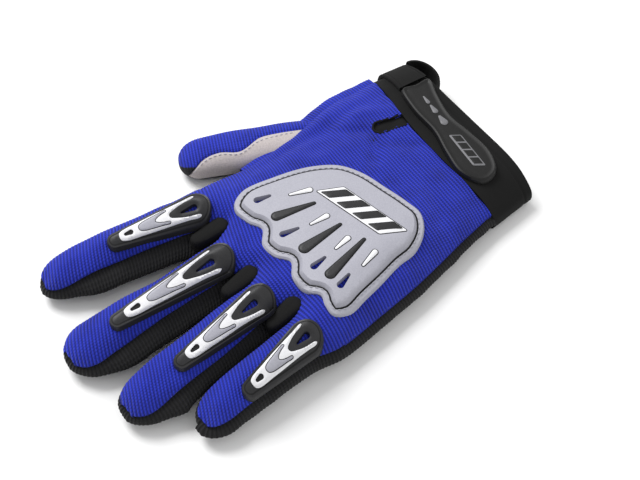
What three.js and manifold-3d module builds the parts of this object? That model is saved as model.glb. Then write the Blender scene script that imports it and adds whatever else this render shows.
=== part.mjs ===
// A left-hand motocross glove that lies on its palm, back of the hand up.
// Units are millimetres. +Y runs to the fingertips, +X to the thumb side and +Z up.
// The finished glove stands with the middle of its underside box at the origin.

import * as THREE from "three";
import { mergeVertices } from "three/addons/utils/BufferGeometryUtils.js";
import Module from "manifold-3d";

// Hand and fingers
const HAND_WIDTH = 106;
const HAND_LENGTH = 108;
const HAND_HEIGHT = 23.5;
const FINGER_WIDTH = 21;
const FINGER_LENGTH = 86;
const FINGER_HEIGHT = 21.5;
const FINGERTIP_ROUND = 13;
const WEB_SLOPE = 9;
const INDEX_SETBACK = 2;
const LITTLE_SETBACK = 4.3;
const TIP_SHARE = 0.994;
const TIP_POWER = 2.4;
const TIP_EASE = 1.5;
const OUTER_BLEND = FINGER_LENGTH / 5;
const INNER_BLEND = FINGER_LENGTH / 9;
const SQUARE_END = 1.2;
const KNUCKLE_RISE = 1.06;

// Cloth
const KNIT_WALL = 1.6;
const PALM_WALL = 1.5;
const SEAM_GAP = 0.3;
const PALM_TURN_UP = 3;
const SIDE_BULGE = 2.4;
const GUSSET_BULGE = 6;
const FINGER_ROLL = 11;
const HAND_ROLL = 24;
const PALM_ROLL = 7;
const ROLL_START = 0.1;
const ROLL_CHANGE = { start: 0.75, rate: 3 };
const BAND_SWELL = 1.3;
const GUSSET_SWELL = { start: 0.12, rate: 0.95, power: 0.7 };
const CROTCH_SHARE = 0.78;

// Thumb
const THUMB_LENGTH = 72;
const THUMB_WIDTH = 23;
const THUMB_HEIGHT = 16.5;
const THUMB_SPLAY = 24;
const THUMB_ROUND = 13;
const THUMB_POWER = 2.3;
const SECTION_POWER = 0.82;
const THUMB_START = 0.05;
const THUMB_TIP = 0.992;

// Wrist
const CUFF_LENGTH = 29;
const CUFF_WALL = 2.2;
const CUFF_TAPER = 0.04;
const CUFF_SIDE = 0.72;
const STRAP_FRONT = 0.28;
const STRAP_REACH = 2;
const LOOP_FOOT = 0.2;
const STRAP_WALL = 1.8;
const TAB_LENGTH = 67;
const TAB_WIDTH = 21;
const TAB_THICKNESS = 2.2;
const TAB_EDGE = { wall: 0.7, share: 0.92 };
const TAB_TUCK = 0.1;
const TAB_RING = 0.5;
const TAB_DROP = { length: 0.06, taper: 0.4 };
const LOOP_WIDTH = 24;
const LOOP_DEPTH = 9;
const LOOP_BAND = 11;
const SLIT_LENGTH = 17;
const SLIT_WIDTH = 6;
const SLIT_BACKING = 1.2;

// Moulded parts on the back
const GUARD_MARGIN = 13;
const GUARD_WIDTH = HAND_WIDTH - 2 * GUARD_MARGIN;
const GUARD_LENGTH = 68;
const GUARD_FLANGE = 1.2;
const GUARD_PLATEAU = 2.8;
const GUARD_BORDER = 3.4;
const GUARD_RISE = 1.15;
const GUARD_RING = 0.62;
const ARMOUR_WIDTH = 15.4;
const ARMOUR_RIM = 2;
const ARMOUR_THICKNESS = 2.6;
const ARMOUR_BUTT = 0.5;
const ARMOUR_POINT = 0.24;
const ARMOUR_MIDDLE = 0.42;
const ARMOUR_WALL = 0.55;
const ARMOUR_EASE = 0.35;
const ARMOUR_RING = 0.45;
const INSERT_DEPTH = 0.8;
const INSERT_PROUD = 0.5;
const DROP_DEPTH = 0.5;
const SEAT_SINK = -KNIT_WALL / 3;

// Sections of the hand from the wrist seam (0) to the knuckle row (1). Edges are shares of
// the hand's width, seams and crest shares of its height.
const HAND_SECTIONS = [
  { along: 0.00, thumbEdge: 0.524, littleEdge: -0.400, thumbSeam: 0.56, littleSeam: 0.50, crest: 0.84 },
  { along: 0.15, thumbEdge: 0.522, littleEdge: -0.427, thumbSeam: 0.60, littleSeam: 0.52, crest: 0.88 },
  { along: 0.30, thumbEdge: 0.494, littleEdge: -0.460, thumbSeam: 0.62, littleSeam: 0.54, crest: 0.95 },
  { along: 0.47, thumbEdge: 0.456, littleEdge: -0.492, thumbSeam: 0.64, littleSeam: 0.54, crest: 1.00 },
  { along: 0.66, thumbEdge: 0.438, littleEdge: -0.517, thumbSeam: 0.64, littleSeam: 0.55, crest: 1.02 },
  { along: 0.85, thumbEdge: 0.453, littleEdge: -0.540, thumbSeam: 0.64, littleSeam: 0.56, crest: 1.00 },
  { along: 1.00, thumbEdge: 0.466, littleEdge: -0.548, thumbSeam: 0.66, littleSeam: 0.58, crest: 0.95 },
];

// How far the wrist seam dips behind the wrist line, as a share of the cuff's length.
const WRIST_DIP = [
  { across: 0.0, dip: 0.28 },
  { across: 0.2, dip: 0.14 },
  { across: 0.45, dip: 0.04 },
  { across: 0.8, dip: 0.03 },
  { across: 1.0, dip: 0.10 },
];

// Fingers from the thumb side. Roots and tips: x is a share of the hand's width, y of its length
// and the finger length beyond it. Halves are shares of the finger width, the bow too.
const FINGERS = [
  { name: "index", rootX: 0.347, rootY: 0.955, tipX: 0.462, tipY: 0.900, bow: 0.07,
    halfRoot: 0.50, halfMiddle: 0.46, halfTip: 0.42, crestTip: 0.76 },
  { name: "middle", rootX: 0.085, rootY: 1.000, tipX: 0.077, tipY: 1.000, bow: -0.01,
    halfRoot: 0.46, halfMiddle: 0.43, halfTip: 0.52, crestTip: 0.78 },
  { name: "ring", rootX: -0.165, rootY: 0.980, tipX: -0.258, tipY: 0.915, bow: -0.02,
    halfRoot: 0.42, halfMiddle: 0.46, halfTip: 0.46, crestTip: 0.74 },
  { name: "little", rootX: -0.425, rootY: 0.930, tipX: -0.477, tipY: 0.645, bow: 0.02,
    halfRoot: 0.47, halfMiddle: 0.44, halfTip: 0.40, crestTip: 0.68 },
];

// Ends of the slits between the fingers on the back, thumb side first.
const SLIT_ENDS = [
  { x: 0.222, y: 0.968 },
  { x: -0.057, y: 1.000 },
  { x: -0.288, y: 0.940 },
];

// Soft dents and folds of the back: place, run and size as shares of the hand's width,
// lift as a share of its height.
const DENTS = [
  { x: 0.40, y: 0.36, turn: 2, long: 0.28, wide: 0.034, lift: -0.10 },
  { x: 0.34, y: 0.37, turn: 25, long: 0.10, wide: 0.050, lift: -0.07 },
  { x: 0.36, y: 0.12, turn: -20, long: 0.12, wide: 0.035, lift: 0.06 },
  { x: 0.30, y: 0.22, turn: -35, long: 0.12, wide: 0.028, lift: -0.05 },
  { x: 0.17, y: 0.14, turn: 30, long: 0.11, wide: 0.030, lift: -0.05 },
  { x: -0.22, y: 0.16, turn: 70, long: 0.16, wide: 0.035, lift: -0.03 },
  { x: -0.40, y: 0.45, turn: -8, long: 0.20, wide: 0.050, lift: -0.04 },
];

// The thumb's root as shares of the hand's width and length, and its sections as shares of its own
// width and height.
const THUMB_ROOT = { x: 0.425, y: 0.300 };
const THUMB_SECTIONS = [
  { along: 0.0, half: 0.54, height: 0.84 },
  { along: 0.4, half: 0.50, height: 0.94 },
  { along: 0.75, half: 0.49, height: 0.92 },
  { along: 1.0, half: 0.46, height: 0.80 },
];

// Where the suede pad meets the knit, as turns round the section from the outer side.
const PAD_EDGE = [
  { along: 0.0, turn: 0.20 }, { along: 0.35, turn: 0.20 }, { along: 0.52, turn: 0.215 },
  { along: 0.68, turn: 0.285 }, { along: 0.82, turn: 0.23 }, { along: 1.0, turn: 0.27 },
];
const UNDER_EDGE = 0.56;
const OUTER_EDGE = -0.13;

// The keyhole slit: its place across the hand, its lean to the thumb side and the place of its mouth.
const SLIT_PLACE = { x: 0.245, lean: 0.22, mouth: 0.26 };

// Height of the back's seam along a finger's side, as a share of the finger's height.
const SIDE_SEAM = [
  { s: 0, z: 0.76 }, { s: 0.35, z: 0.71 }, { s: 0.75, z: 0.66 }, { s: 0.92, z: 0.56 }, { s: 1, z: 0.50 },
];
const SEAM_SETTLE = 0.35;

// Outline of the knuckle guard, thumb side front corner first, as shares of its width and length.
const GUARD_PLACE = { x: -0.094, y: 0.583 };
const GUARD_OUTLINE = [
  { x: 0.430, y: 0.500 }, { x: 0.500, y: 0.370 }, { x: 0.475, y: 0.140 }, { x: 0.412, y: -0.120 },
  { x: 0.325, y: -0.290 }, { x: 0.200, y: -0.385 }, { x: 0.040, y: -0.440 }, { x: -0.110, y: -0.485 },
  { x: -0.220, y: -0.500 }, { x: -0.325, y: -0.430 }, { x: -0.395, y: -0.290 }, { x: -0.415, y: -0.140 },
  { x: -0.445, y: 0.010 }, { x: -0.475, y: 0.190 }, { x: -0.500, y: 0.345 }, { x: -0.465, y: 0.445 },
  { x: -0.395, y: 0.450 }, { x: -0.335, y: 0.430 }, { x: -0.260, y: 0.490 }, { x: -0.150, y: 0.500 },
  { x: -0.060, y: 0.440 }, { x: 0.020, y: 0.500 }, { x: 0.120, y: 0.515 }, { x: 0.215, y: 0.445 },
  { x: 0.300, y: 0.490 },
];

// Teardrops and slots of the guard. Both ends and their radii are shares of its width.
const GUARD_DROPS = [
  { name: "guard_white_drop_1", kind: "white", x: 0.256, y: 0.015, endX: 0.294, endY: 0.126, radius: 0.018,
    endRadius: 0.008 },
  { name: "guard_white_drop_2", kind: "white", x: 0.051, y: 0.045, endX: 0.057, endY: 0.149, radius: 0.018,
    endRadius: 0.008 },
  { name: "guard_white_drop_3", kind: "white", x: -0.141, y: 0.040, endX: -0.157, endY: 0.133, radius: 0.018,
    endRadius: 0.008 },
  { name: "guard_white_drop_4", kind: "white", x: -0.300, y: -0.030, endX: -0.329, endY: 0.074, radius: 0.017,
    endRadius: 0.008 },
  { name: "guard_black_drop_1", kind: "black", x: 0.217, y: 0.275, endX: 0.165, endY: 0.050, radius: 0.027,
    endRadius: 0.007 },
  { name: "guard_black_drop_2", kind: "black", x: -0.052, y: 0.272, endX: -0.041, endY: 0.018, radius: 0.030,
    endRadius: 0.007 },
  { name: "guard_black_drop_3", kind: "black", x: -0.272, y: 0.255, endX: -0.200, endY: -0.030, radius: 0.028,
    endRadius: 0.007 },
  { name: "slot_1", kind: "slot", x: 0.376, y: 0.300, endX: 0.358, endY: 0.225, radius: 0.021,
    endRadius: 0.010 },
  { name: "slot_2", kind: "slot", x: 0.096, y: 0.315, endX: 0.078, endY: 0.225, radius: 0.021,
    endRadius: 0.010 },
  { name: "slot_3", kind: "slot", x: -0.178, y: 0.298, endX: -0.168, endY: 0.218, radius: 0.022,
    endRadius: 0.010 },
  { name: "slot_4", kind: "slot", x: -0.356, y: 0.250, endX: -0.332, endY: 0.175, radius: 0.021,
    endRadius: 0.010 },
];

// Slanted badge of plain bars on the guard, in shares of the guard's width.
const BADGE = { x: -0.030, y: -0.165, turn: 14, length: 0.46, height: 0.125, lean: 0.05 };
const BADGE_BARS = 4;
const BAR_SPAN = { from: 0.14, to: 0.86 };

// Finger armour: butt and point of each pad, x a share of the hand's width and y of its length.
const ARMOURS = [
  { name: "index", buttX: 0.324, buttY: 0.967, pointX: 0.405, pointY: 1.420 },
  { name: "middle", buttX: 0.057, buttY: 1.040, pointX: 0.056, pointY: 1.602 },
  { name: "ring", buttX: -0.204, buttY: 1.018, pointX: -0.258, pointY: 1.490 },
  { name: "little", buttX: -0.450, buttY: 0.947, pointX: -0.512, pointY: 1.337 },
];

// The fork's outline, from its point along one arm to the butt and back, in shares of the pad. The
// inlay's ends and radii are shares of the pad's length and width.
const FORK = [
  { along: 0.865, across: 0.10 }, { along: 0.62, across: 0.18 }, { along: 0.40, across: 0.25 },
  { along: 0.14, across: 0.33 }, { along: 0.14, across: 0.25 }, { along: 0.30, across: 0.14 },
  { along: 0.41, across: 0.055 },
];
const INLAY = { from: 0.50, to: 0.68, radius: 0.115, endRadius: 0.07 };

// Closure tab, in shares of its length from the thumb side end and of its width.
const TAB_PLACE = { y: -0.172, turn: 173 };
const TAB_OUTLINE = [
  { x: 0.01, y: -0.36 }, { x: 0.22, y: -0.42 }, { x: 0.45, y: -0.36 }, { x: 0.66, y: -0.46 },
  { x: 0.84, y: -0.50 }, { x: 0.97, y: -0.28 }, { x: 1.00, y: 0.06 }, { x: 0.93, y: 0.36 },
  { x: 0.78, y: 0.47 }, { x: 0.58, y: 0.38 }, { x: 0.38, y: 0.26 }, { x: 0.18, y: 0.34 },
  { x: 0.01, y: 0.46 }, { x: 0.00, y: 0.05 },
];
const TAB_DROPS = [
  { name: "tab_drop_1", x: 0.20, radius: 0.055 },
  { name: "tab_drop_2", x: 0.30, radius: 0.075 },
  { name: "tab_drop_3", x: 0.42, radius: 0.100 },
];
const TAB_BADGE = { x: 0.72, y: 0.0, length: 0.32, height: 0.26, lean: 0.04 };

const wasm = await Module();
wasm.setup();

const FINISHES = {
  knit: { color: 0x1f2fd0, roughness: 0.85, metalness: 0 },
  sideKnit: { color: 0x111112, roughness: 0.9, metalness: 0 },
  leather: { color: 0x161616, roughness: 0.7, metalness: 0 },
  suede: { color: 0xb9b3ad, roughness: 0.95, metalness: 0 },
  neoprene: { color: 0x141414, roughness: 0.8, metalness: 0 },
  blackRubber: { color: 0x1b1b1d, roughness: 0.5, metalness: 0 },
  greyRubber: { color: 0xabacb6, roughness: 0.55, metalness: 0 },
  whiteRubber: { color: 0xf2f2f2, roughness: 0.5, metalness: 0 },
};

const glove = new THREE.Group();

function addPiece(name, geometry, finish) {
  const mesh = new THREE.Mesh(geometry, new THREE.MeshStandardMaterial(FINISHES[finish]));
  mesh.name = name;
  glove.add(mesh);
}

// Small helpers
const lerp = THREE.MathUtils.lerp;
const clamp = THREE.MathUtils.clamp;
const smooth = (s) => THREE.MathUtils.smoothstep(s, 0, 1);

// Reads one column of a table at s by a smooth curve through its rows.
function column(rows, place, name, s) {
  const at = clamp(s, rows[0][place], rows[rows.length - 1][place]);
  let i = 0;
  while (i < rows.length - 2 && at > rows[i + 1][place]) i += 1;
  const slope = (k) => {
    const low = rows[Math.max(k - 1, 0)];
    const high = rows[Math.min(k + 1, rows.length - 1)];
    return (high[name] - low[name]) / (high[place] - low[place]);
  };
  const span = rows[i + 1][place] - rows[i][place];
  const q = (at - rows[i][place]) / span;
  const rise = q * q * (3 - 2 * q);
  return rows[i][name] * (1 - rise) + rows[i + 1][name] * rise
    + span * (slope(i) * q * (1 - q) * (1 - q) - slope(i + 1) * q * q * (1 - q));
}

// Steps along the outlines and up the walls
const SIDE_STEPS = 10;
const WALL_STEPS = [0, 0.25, 0.6, 1];
const THUMB_STEPS = 9;
const THUMB_CROWD = { share: 0.7, power: 6 };
const CUFF_TOP_STEPS = 12;
const GUARD_STEPS = 42;

// Rise of puffed cloth from a seam (0) to its crest (1).
function dome(share) {
  const round = (q) => Math.sqrt(1 - (1 - q) * (1 - q));
  const q = ROLL_START + (1 - ROLL_START) * clamp(share, 0, 1);
  return (round(q) - round(ROLL_START)) / (1 - round(ROLL_START));
}

// Plan of the hand
function handEdge(side, y) {
  const name = side > 0 ? "thumbEdge" : "littleEdge";
  return column(HAND_SECTIONS, "along", name, y / HAND_LENGTH) * HAND_WIDTH;
}

function handSeamHeight(side, y) {
  const name = side > 0 ? "thumbSeam" : "littleSeam";
  return column(HAND_SECTIONS, "along", name, y / HAND_LENGTH) * HAND_HEIGHT;
}

function wristY(across) {
  return -column(WRIST_DIP, "across", "dip", across) * CUFF_LENGTH;
}

// Points where the knuckle row meets the thumb edge, the three slits and the little edge.
function knucklePoints(rail) {
  const web = rail === "palm" ? WEB_SLOPE : 0;
  const slits = SLIT_ENDS.map((s) => new THREE.Vector2(s.x * HAND_WIDTH, s.y * HAND_LENGTH + web));
  const first = FINGERS[0].rootY * HAND_LENGTH - INDEX_SETBACK;
  const last = FINGERS[3].rootY * HAND_LENGTH - LITTLE_SETBACK;
  return [
    new THREE.Vector2(handEdge(1, first), first), ...slits, new THREE.Vector2(handEdge(-1, last), last),
  ];
}

// A finger's middle line, and its cloth edge on one side at share t from the knuckle row to the tip.
function fingerFrame(finger) {
  const root = new THREE.Vector2(finger.rootX * HAND_WIDTH, finger.rootY * HAND_LENGTH);
  const tip = new THREE.Vector2(finger.tipX * HAND_WIDTH, HAND_LENGTH + finger.tipY * FINGER_LENGTH);
  const run = tip.clone().sub(root);
  const length = run.length();
  run.normalize();
  return { root, run, length, across: new THREE.Vector2(run.y, -run.x) };
}

function fingerMiddle(finger, reach) {
  const { root, run, length, across } = fingerFrame(finger);
  const q = reach / length;
  const bow = finger.bow * FINGER_WIDTH * 4 * q * (1 - q);
  return root.clone().addScaledVector(run, reach).addScaledVector(across, bow);
}

function fingerHalf(finger, reach) {
  const { length } = fingerFrame(finger);
  const q = clamp(reach / length, 0, 1);
  const rows = [
    { s: 0, half: finger.halfRoot }, { s: 0.4, half: finger.halfMiddle }, { s: 0.85, half: finger.halfTip },
    { s: 1, half: finger.halfTip },
  ];
  const nearTip = clamp((reach - (length - FINGERTIP_ROUND)) / FINGERTIP_ROUND, 0, 1);
  return column(rows, "s", "half", q) * FINGER_WIDTH * (1 - nearTip ** TIP_POWER) ** (1 / TIP_POWER);
}

function fingerSide(index, side, t, rail) {
  const finger = FINGERS[index];
  const { root, run, length, across } = fingerFrame(finger);
  const knuckles = knucklePoints(rail);
  const start = side > 0 ? knuckles[index] : knuckles[index + 1];
  const startReach = start.clone().sub(root).dot(run);
  const reach = lerp(startReach, length * TIP_SHARE, t);
  const atStart = fingerMiddle(finger, startReach)
    .addScaledVector(across, side * fingerHalf(finger, startReach));
  const outer = (index === 0 && side > 0) || (index === 3 && side < 0);
  const blend = outer ? OUTER_BLEND : INNER_BLEND;
  const q = clamp((reach - startReach) / blend, 0, 1);
  const settled = outer ? smooth(q) : Math.sqrt(1 - (1 - q) * (1 - q));
  const point = fingerMiddle(finger, reach).addScaledVector(across, side * fingerHalf(finger, reach));
  return point.addScaledVector(start.clone().sub(atStart), 1 - settled);
}

// Height of the back's seam along a finger's side.
function fingerSeamHeight(index, side, t) {
  const outer = (index === 0 && side > 0) || (index === 3 && side < 0);
  const height = column(SIDE_SEAM, "s", "z", t) * FINGER_HEIGHT;
  if (!outer) return height;
  const start = handSeamHeight(side, HAND_LENGTH);
  return lerp(start, height, smooth(t / SEAM_SETTLE));
}

// Seam lines as lists of points in space: the back's rail and the palm's rail. Both sides of a finger
// end square to its middle line, a seam gap apart.
function easeToTip(j, steps) {
  return 1 - (1 - j / steps) ** TIP_EASE;
}

function sidePath(index, side, rail) {
  const points = [];
  for (let j = 0; j <= SIDE_STEPS; j += 1) {
    const t = easeToTip(j, SIDE_STEPS);
    const p = fingerSide(index, side, t, rail);
    const z = rail === "palm" ? PALM_TURN_UP : fingerSeamHeight(index, side, t);
    points.push(new THREE.Vector3(p.x, p.y, z));
  }
  const { across } = fingerFrame(FINGERS[index]);
  const tip = fingerMiddle(FINGERS[index], fingerFrame(FINGERS[index]).length);
  for (const aside of [SQUARE_END, SEAM_GAP / 2]) {
    const end = tip.clone().addScaledVector(across, side * aside);
    points.push(new THREE.Vector3(end.x, end.y, points[SIDE_STEPS].z));
  }
  return points;
}

function handPath(side, from, to, steps) {
  const points = [];
  const knuckles = knucklePoints("back");
  const top = side > 0 ? knuckles[0].y : knuckles[4].y;
  const low = wristY(side > 0 ? 0 : 1);
  for (let j = 0; j <= steps; j += 1) {
    const y = lerp(low, top, lerp(from, to, j / steps));
    points.push(new THREE.Vector3(handEdge(side, y), y, handSeamHeight(side, y)));
  }
  return points;
}

function nearest(paths, x, y) {
  let best = { distance: Infinity, z: 0 };
  for (const path of paths) {
    for (let i = 0; i + 1 < path.length; i += 1) {
      const a = path[i];
      const b = path[i + 1];
      const dx = b.x - a.x;
      const dy = b.y - a.y;
      const q = clamp(((x - a.x) * dx + (y - a.y) * dy) / (dx * dx + dy * dy), 0, 1);
      const distance = Math.hypot(x - a.x - q * dx, y - a.y - q * dy);
      if (distance < best.distance) best = { distance, z: lerp(a.z, b.z, q) };
    }
  }
  return best;
}

const INNER_SIDES = [[0, -1], [1, 1], [1, -1], [2, 1], [2, -1], [3, 1]];
const innerSides = (rail) => INNER_SIDES.map(([index, side]) => sidePath(index, side, rail));
const outerSides = (rail) => [
  [...handPath(1, 0, 1, 12), ...sidePath(0, 1, rail).slice(1)],
  [...handPath(-1, 0, 1, 12), ...sidePath(3, -1, rail).slice(1)],
];
const BACK_RAILS = { inner: innerSides("back"), outer: outerSides("back") };
const PALM_RAILS = { inner: innerSides("palm"), outer: outerSides("palm") };

// Height of the hand's back over the plan, seams, crests and dents together.
function crestHeight(x, y) {
  let best = null;
  for (const finger of FINGERS) {
    const { root, run, length, across } = fingerFrame(finger);
    const offset = new THREE.Vector2(x, y).sub(root);
    const lateral = Math.abs(offset.dot(across));
    if (!best || lateral < best.lateral) {
      best = { lateral, reach: offset.dot(run), length, tip: finger.crestTip };
    }
  }
  const hand = column(HAND_SECTIONS, "along", "crest", y / HAND_LENGTH) * HAND_HEIGHT;
  const q = clamp(best.reach / best.length, 0, 1);
  const rows = [
    { s: 0, z: KNUCKLE_RISE }, { s: 0.35, z: 1 }, { s: 0.75, z: (1 + best.tip) / 2 }, { s: 1, z: best.tip },
  ];
  const finger = column(rows, "s", "z", q) * FINGER_HEIGHT;
  return lerp(hand, finger, smooth(best.reach / FINGERTIP_ROUND + 0.5));
}

function backHeight(x, y) {
  const inner = nearest(BACK_RAILS.inner, x, y);
  const outer = nearest(BACK_RAILS.outer, x, y);
  const roll = lerp(HAND_ROLL, FINGER_ROLL, smooth((y / HAND_LENGTH - ROLL_CHANGE.start) * ROLL_CHANGE.rate));
  const innerRise = dome(inner.distance / FINGER_ROLL);
  const outerRise = dome(outer.distance / roll);
  const crest = crestHeight(x, y);
  const pull = 2 - innerRise - outerRise;
  const seam = pull > 0 ? (inner.z * (1 - innerRise) + outer.z * (1 - outerRise)) / pull : crest;
  let z = crest - Math.max(crest - seam, 0) * (1 - innerRise * outerRise);
  for (const dent of DENTS) {
    const turn = THREE.MathUtils.degToRad(dent.turn);
    const dx = x / HAND_WIDTH - dent.x;
    const dy = (y - dent.y * HAND_LENGTH) / HAND_WIDTH;
    const along = -dx * Math.sin(turn) + dy * Math.cos(turn);
    const wide = dx * Math.cos(turn) + dy * Math.sin(turn);
    const fade = Math.min(innerRise, outerRise * 2, 1);
    z += dent.lift * HAND_HEIGHT * fade * Math.exp(-((along / dent.long) ** 2) - (wide / dent.wide) ** 2);
  }
  return z;
}

function palmHeight(x, y) {
  const inner = nearest(PALM_RAILS.inner, x, y);
  const outer = nearest(PALM_RAILS.outer, x, y);
  const rise = dome(Math.min(inner.distance, outer.distance) / PALM_ROLL);
  return rise > 0.999 ? 0 : PALM_TURN_UP * (1 - rise);
}

// Solids from sheets
function solidGeometry(outer, inner, quads) {
  const positions = [];
  for (const p of [...outer, ...inner]) positions.push(p.x, p.y, p.z);
  const count = outer.length;
  const index = [];
  const edges = new Map();
  for (const face of quads) {
    for (let k = 1; k + 1 < face.length; k += 1) {
      index.push(face[0], face[k], face[k + 1]);
      index.push(face[0] + count, face[k + 1] + count, face[k] + count);
    }
    face.forEach((a, k) => {
      const b = face[(k + 1) % face.length];
      edges.set(`${a},${b}`, [a, b]);
    });
  }
  for (const [a, b] of edges.values()) {
    if (!edges.has(`${b},${a}`)) index.push(b, a, a + count, b, a + count, b + count);
  }
  const geometry = new THREE.BufferGeometry();
  geometry.setAttribute("position", new THREE.Float32BufferAttribute(positions, 3));
  geometry.setIndex(volume(positions, index) < 0 ? reversed(index) : index);
  return geometry;
}

function volume(positions, index) {
  let sum = 0;
  const a = new THREE.Vector3();
  const b = new THREE.Vector3();
  const c = new THREE.Vector3();
  for (let i = 0; i < index.length; i += 3) {
    a.fromArray(positions, index[i] * 3);
    b.fromArray(positions, index[i + 1] * 3);
    c.fromArray(positions, index[i + 2] * 3);
    sum += a.dot(b.cross(c));
  }
  return sum;
}

function reversed(index) {
  const out = [];
  for (let i = 0; i < index.length; i += 3) out.push(index[i], index[i + 2], index[i + 1]);
  return out;
}

// A sheet from rows of points, closed across its rows when it is a tube.
function rowsSolid(outerRows, innerRows, closed) {
  const wide = outerRows[0].length;
  const quads = [];
  for (let r = 0; r + 1 < outerRows.length; r += 1) {
    for (let c = 0; c < (closed ? wide : wide - 1); c += 1) {
      const next = (c + 1) % wide;
      quads.push([r * wide + c, r * wide + next, (r + 1) * wide + next, (r + 1) * wide + c]);
    }
  }
  return solidGeometry(outerRows.flat(), innerRows.flat(), quads);
}

function toManifold(geometry) {
  const plain = new THREE.BufferGeometry();
  plain.setAttribute("position", geometry.getAttribute("position").clone());
  plain.setIndex(geometry.index ? [...geometry.index.array] : null);
  const merged = mergeVertices(plain, 1e-4);
  return new wasm.Manifold(new wasm.Mesh({
    numProp: 3,
    vertProperties: new Float32Array(merged.getAttribute("position").array),
    triVerts: new Uint32Array(merged.index.array),
  }));
}

function fromManifold(solid) {
  const mesh = solid.getMesh();
  const geometry = new THREE.BufferGeometry();
  geometry.setAttribute("position", new THREE.Float32BufferAttribute([...mesh.vertProperties], 3));
  geometry.setIndex([...mesh.triVerts]);
  return geometry;
}

// The sheet of the back or the palm: one hand field and four finger strips that share the knuckle row.
function handSheet(rail, columnsPerFinger, handRows, fingerRows, height, wall) {
  const knuckles = knucklePoints(rail);
  const outer = [];
  const quads = [];
  const place = (p) => {
    outer.push(new THREE.Vector3(p.x, p.y, height(p.x, p.y)));
    return outer.length - 1;
  };
  const knuckleRow = [];
  for (let f = 0; f < FINGERS.length; f += 1) {
    for (let c = 0; c < columnsPerFinger; c += 1) {
      knuckleRow.push(knuckles[f].clone().lerp(knuckles[f + 1], c / columnsPerFinger));
    }
  }
  knuckleRow.push(knuckles[4].clone());
  const width = knuckles[0].x - knuckles[4].x;
  const rows = [];
  for (let r = 0; r <= handRows; r += 1) {
    rows.push(knuckleRow.map((end) => {
      const across = (knuckles[0].x - end.x) / width;
      const y = lerp(wristY(across), end.y, r / handRows);
      const thumbY = lerp(wristY(0), knuckles[0].y, r / handRows);
      const littleY = lerp(wristY(1), knuckles[4].y, r / handRows);
      return place(new THREE.Vector2(lerp(handEdge(1, thumbY), handEdge(-1, littleY), across), y));
    }));
  }
  for (let r = 0; r < handRows; r += 1) {
    for (let c = 0; c + 1 < knuckleRow.length; c += 1) {
      quads.push([rows[r][c], rows[r][c + 1], rows[r + 1][c + 1], rows[r + 1][c]]);
    }
  }
  FINGERS.forEach((finger, f) => {
    let last = rows[handRows].slice(f * columnsPerFinger, (f + 1) * columnsPerFinger + 1);
    for (let r = 1; r <= fingerRows; r += 1) {
      const t = easeToTip(r, fingerRows);
      const thumbSide = fingerSide(f, 1, t, rail);
      const littleSide = fingerSide(f, -1, t, rail);
      const row = last.map((_, c) => place(thumbSide.clone().lerp(littleSide, c / columnsPerFinger)));
      for (let c = 0; c < columnsPerFinger; c += 1) quads.push([last[c], last[c + 1], row[c + 1], row[c]]);
      last = row;
    }
  });
  const inner = outer.map((p) => new THREE.Vector3(p.x, p.y, p.z + wall));
  return solidGeometry(outer, inner, quads);
}

// Side walls between the two rails, bulged outwards. The path keeps the glove on its left.
function wallStations(top, low, bulge) {
  return top.map((rail, i) => {
    const before = top[Math.max(i - 1, 0)];
    const after = top[Math.min(i + 1, top.length - 1)];
    const tangent = new THREE.Vector2(after.x - before.x, after.y - before.y).normalize();
    const normal = new THREE.Vector3(tangent.y, -tangent.x, 0);
    const high = rail.clone().setZ(rail.z - KNIT_WALL - SEAM_GAP);
    const foot = low[i].clone().setZ(low[i].z + PALM_WALL + SEAM_GAP);
    const swell = typeof bulge === "function" ? bulge(i / (top.length - 1)) : bulge;
    const row = WALL_STEPS.map((q) => (
      high.clone().lerp(foot, q).addScaledVector(normal, swell * 4 * q * (1 - q))
    ));
    return { normal, row };
  });
}

function wallSolid(top, low, bulge, thickness) {
  const stations = wallStations(top, low, bulge);
  const inner = stations.map(({ normal, row }) => (
    row.map((p) => p.clone().addScaledVector(normal, -thickness))
  ));
  return rowsSolid(stations.map(({ row }) => row), inner, false);
}

// Back and palm of the hand
function makeBackPanel() {
  const sheet = handSheet("back", 6, 11, 9, backHeight, -KNIT_WALL);
  const mouth = wristY(SLIT_PLACE.mouth) - SLIT_WIDTH;
  const slit = slitShape(SLIT_WIDTH / 2, mouth);
  const cutter = new THREE.ExtrudeGeometry(slit, {
    depth: HAND_HEIGHT * 2, bevelEnabled: false, curveSegments: 6,
  });
  return toManifold(sheet).subtract(toManifold(cutter));
}

// Cuts the underside of a moulded piece to the cloth that carries it, a seam gap clear.
function seated(piece, carrier) {
  return piece.subtract(carrier.translate([0, 0, SEAM_GAP]));
}

// The keyhole slit at the wrist: a round-ended slot that leans to the thumb side.
function slitShape(radius, mouth) {
  const tip = SLIT_LENGTH - SLIT_WIDTH;
  const x = SLIT_PLACE.x * HAND_WIDTH;
  const lean = (y) => x + (y - tip) * SLIT_PLACE.lean;
  const shape = new THREE.Shape();
  shape.moveTo(lean(mouth) - radius, mouth);
  shape.lineTo(lean(mouth) + radius, mouth);
  shape.lineTo(x + radius, tip);
  shape.absarc(x, tip, radius, 0, Math.PI, false);
  shape.closePath();
  return shape;
}

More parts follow.
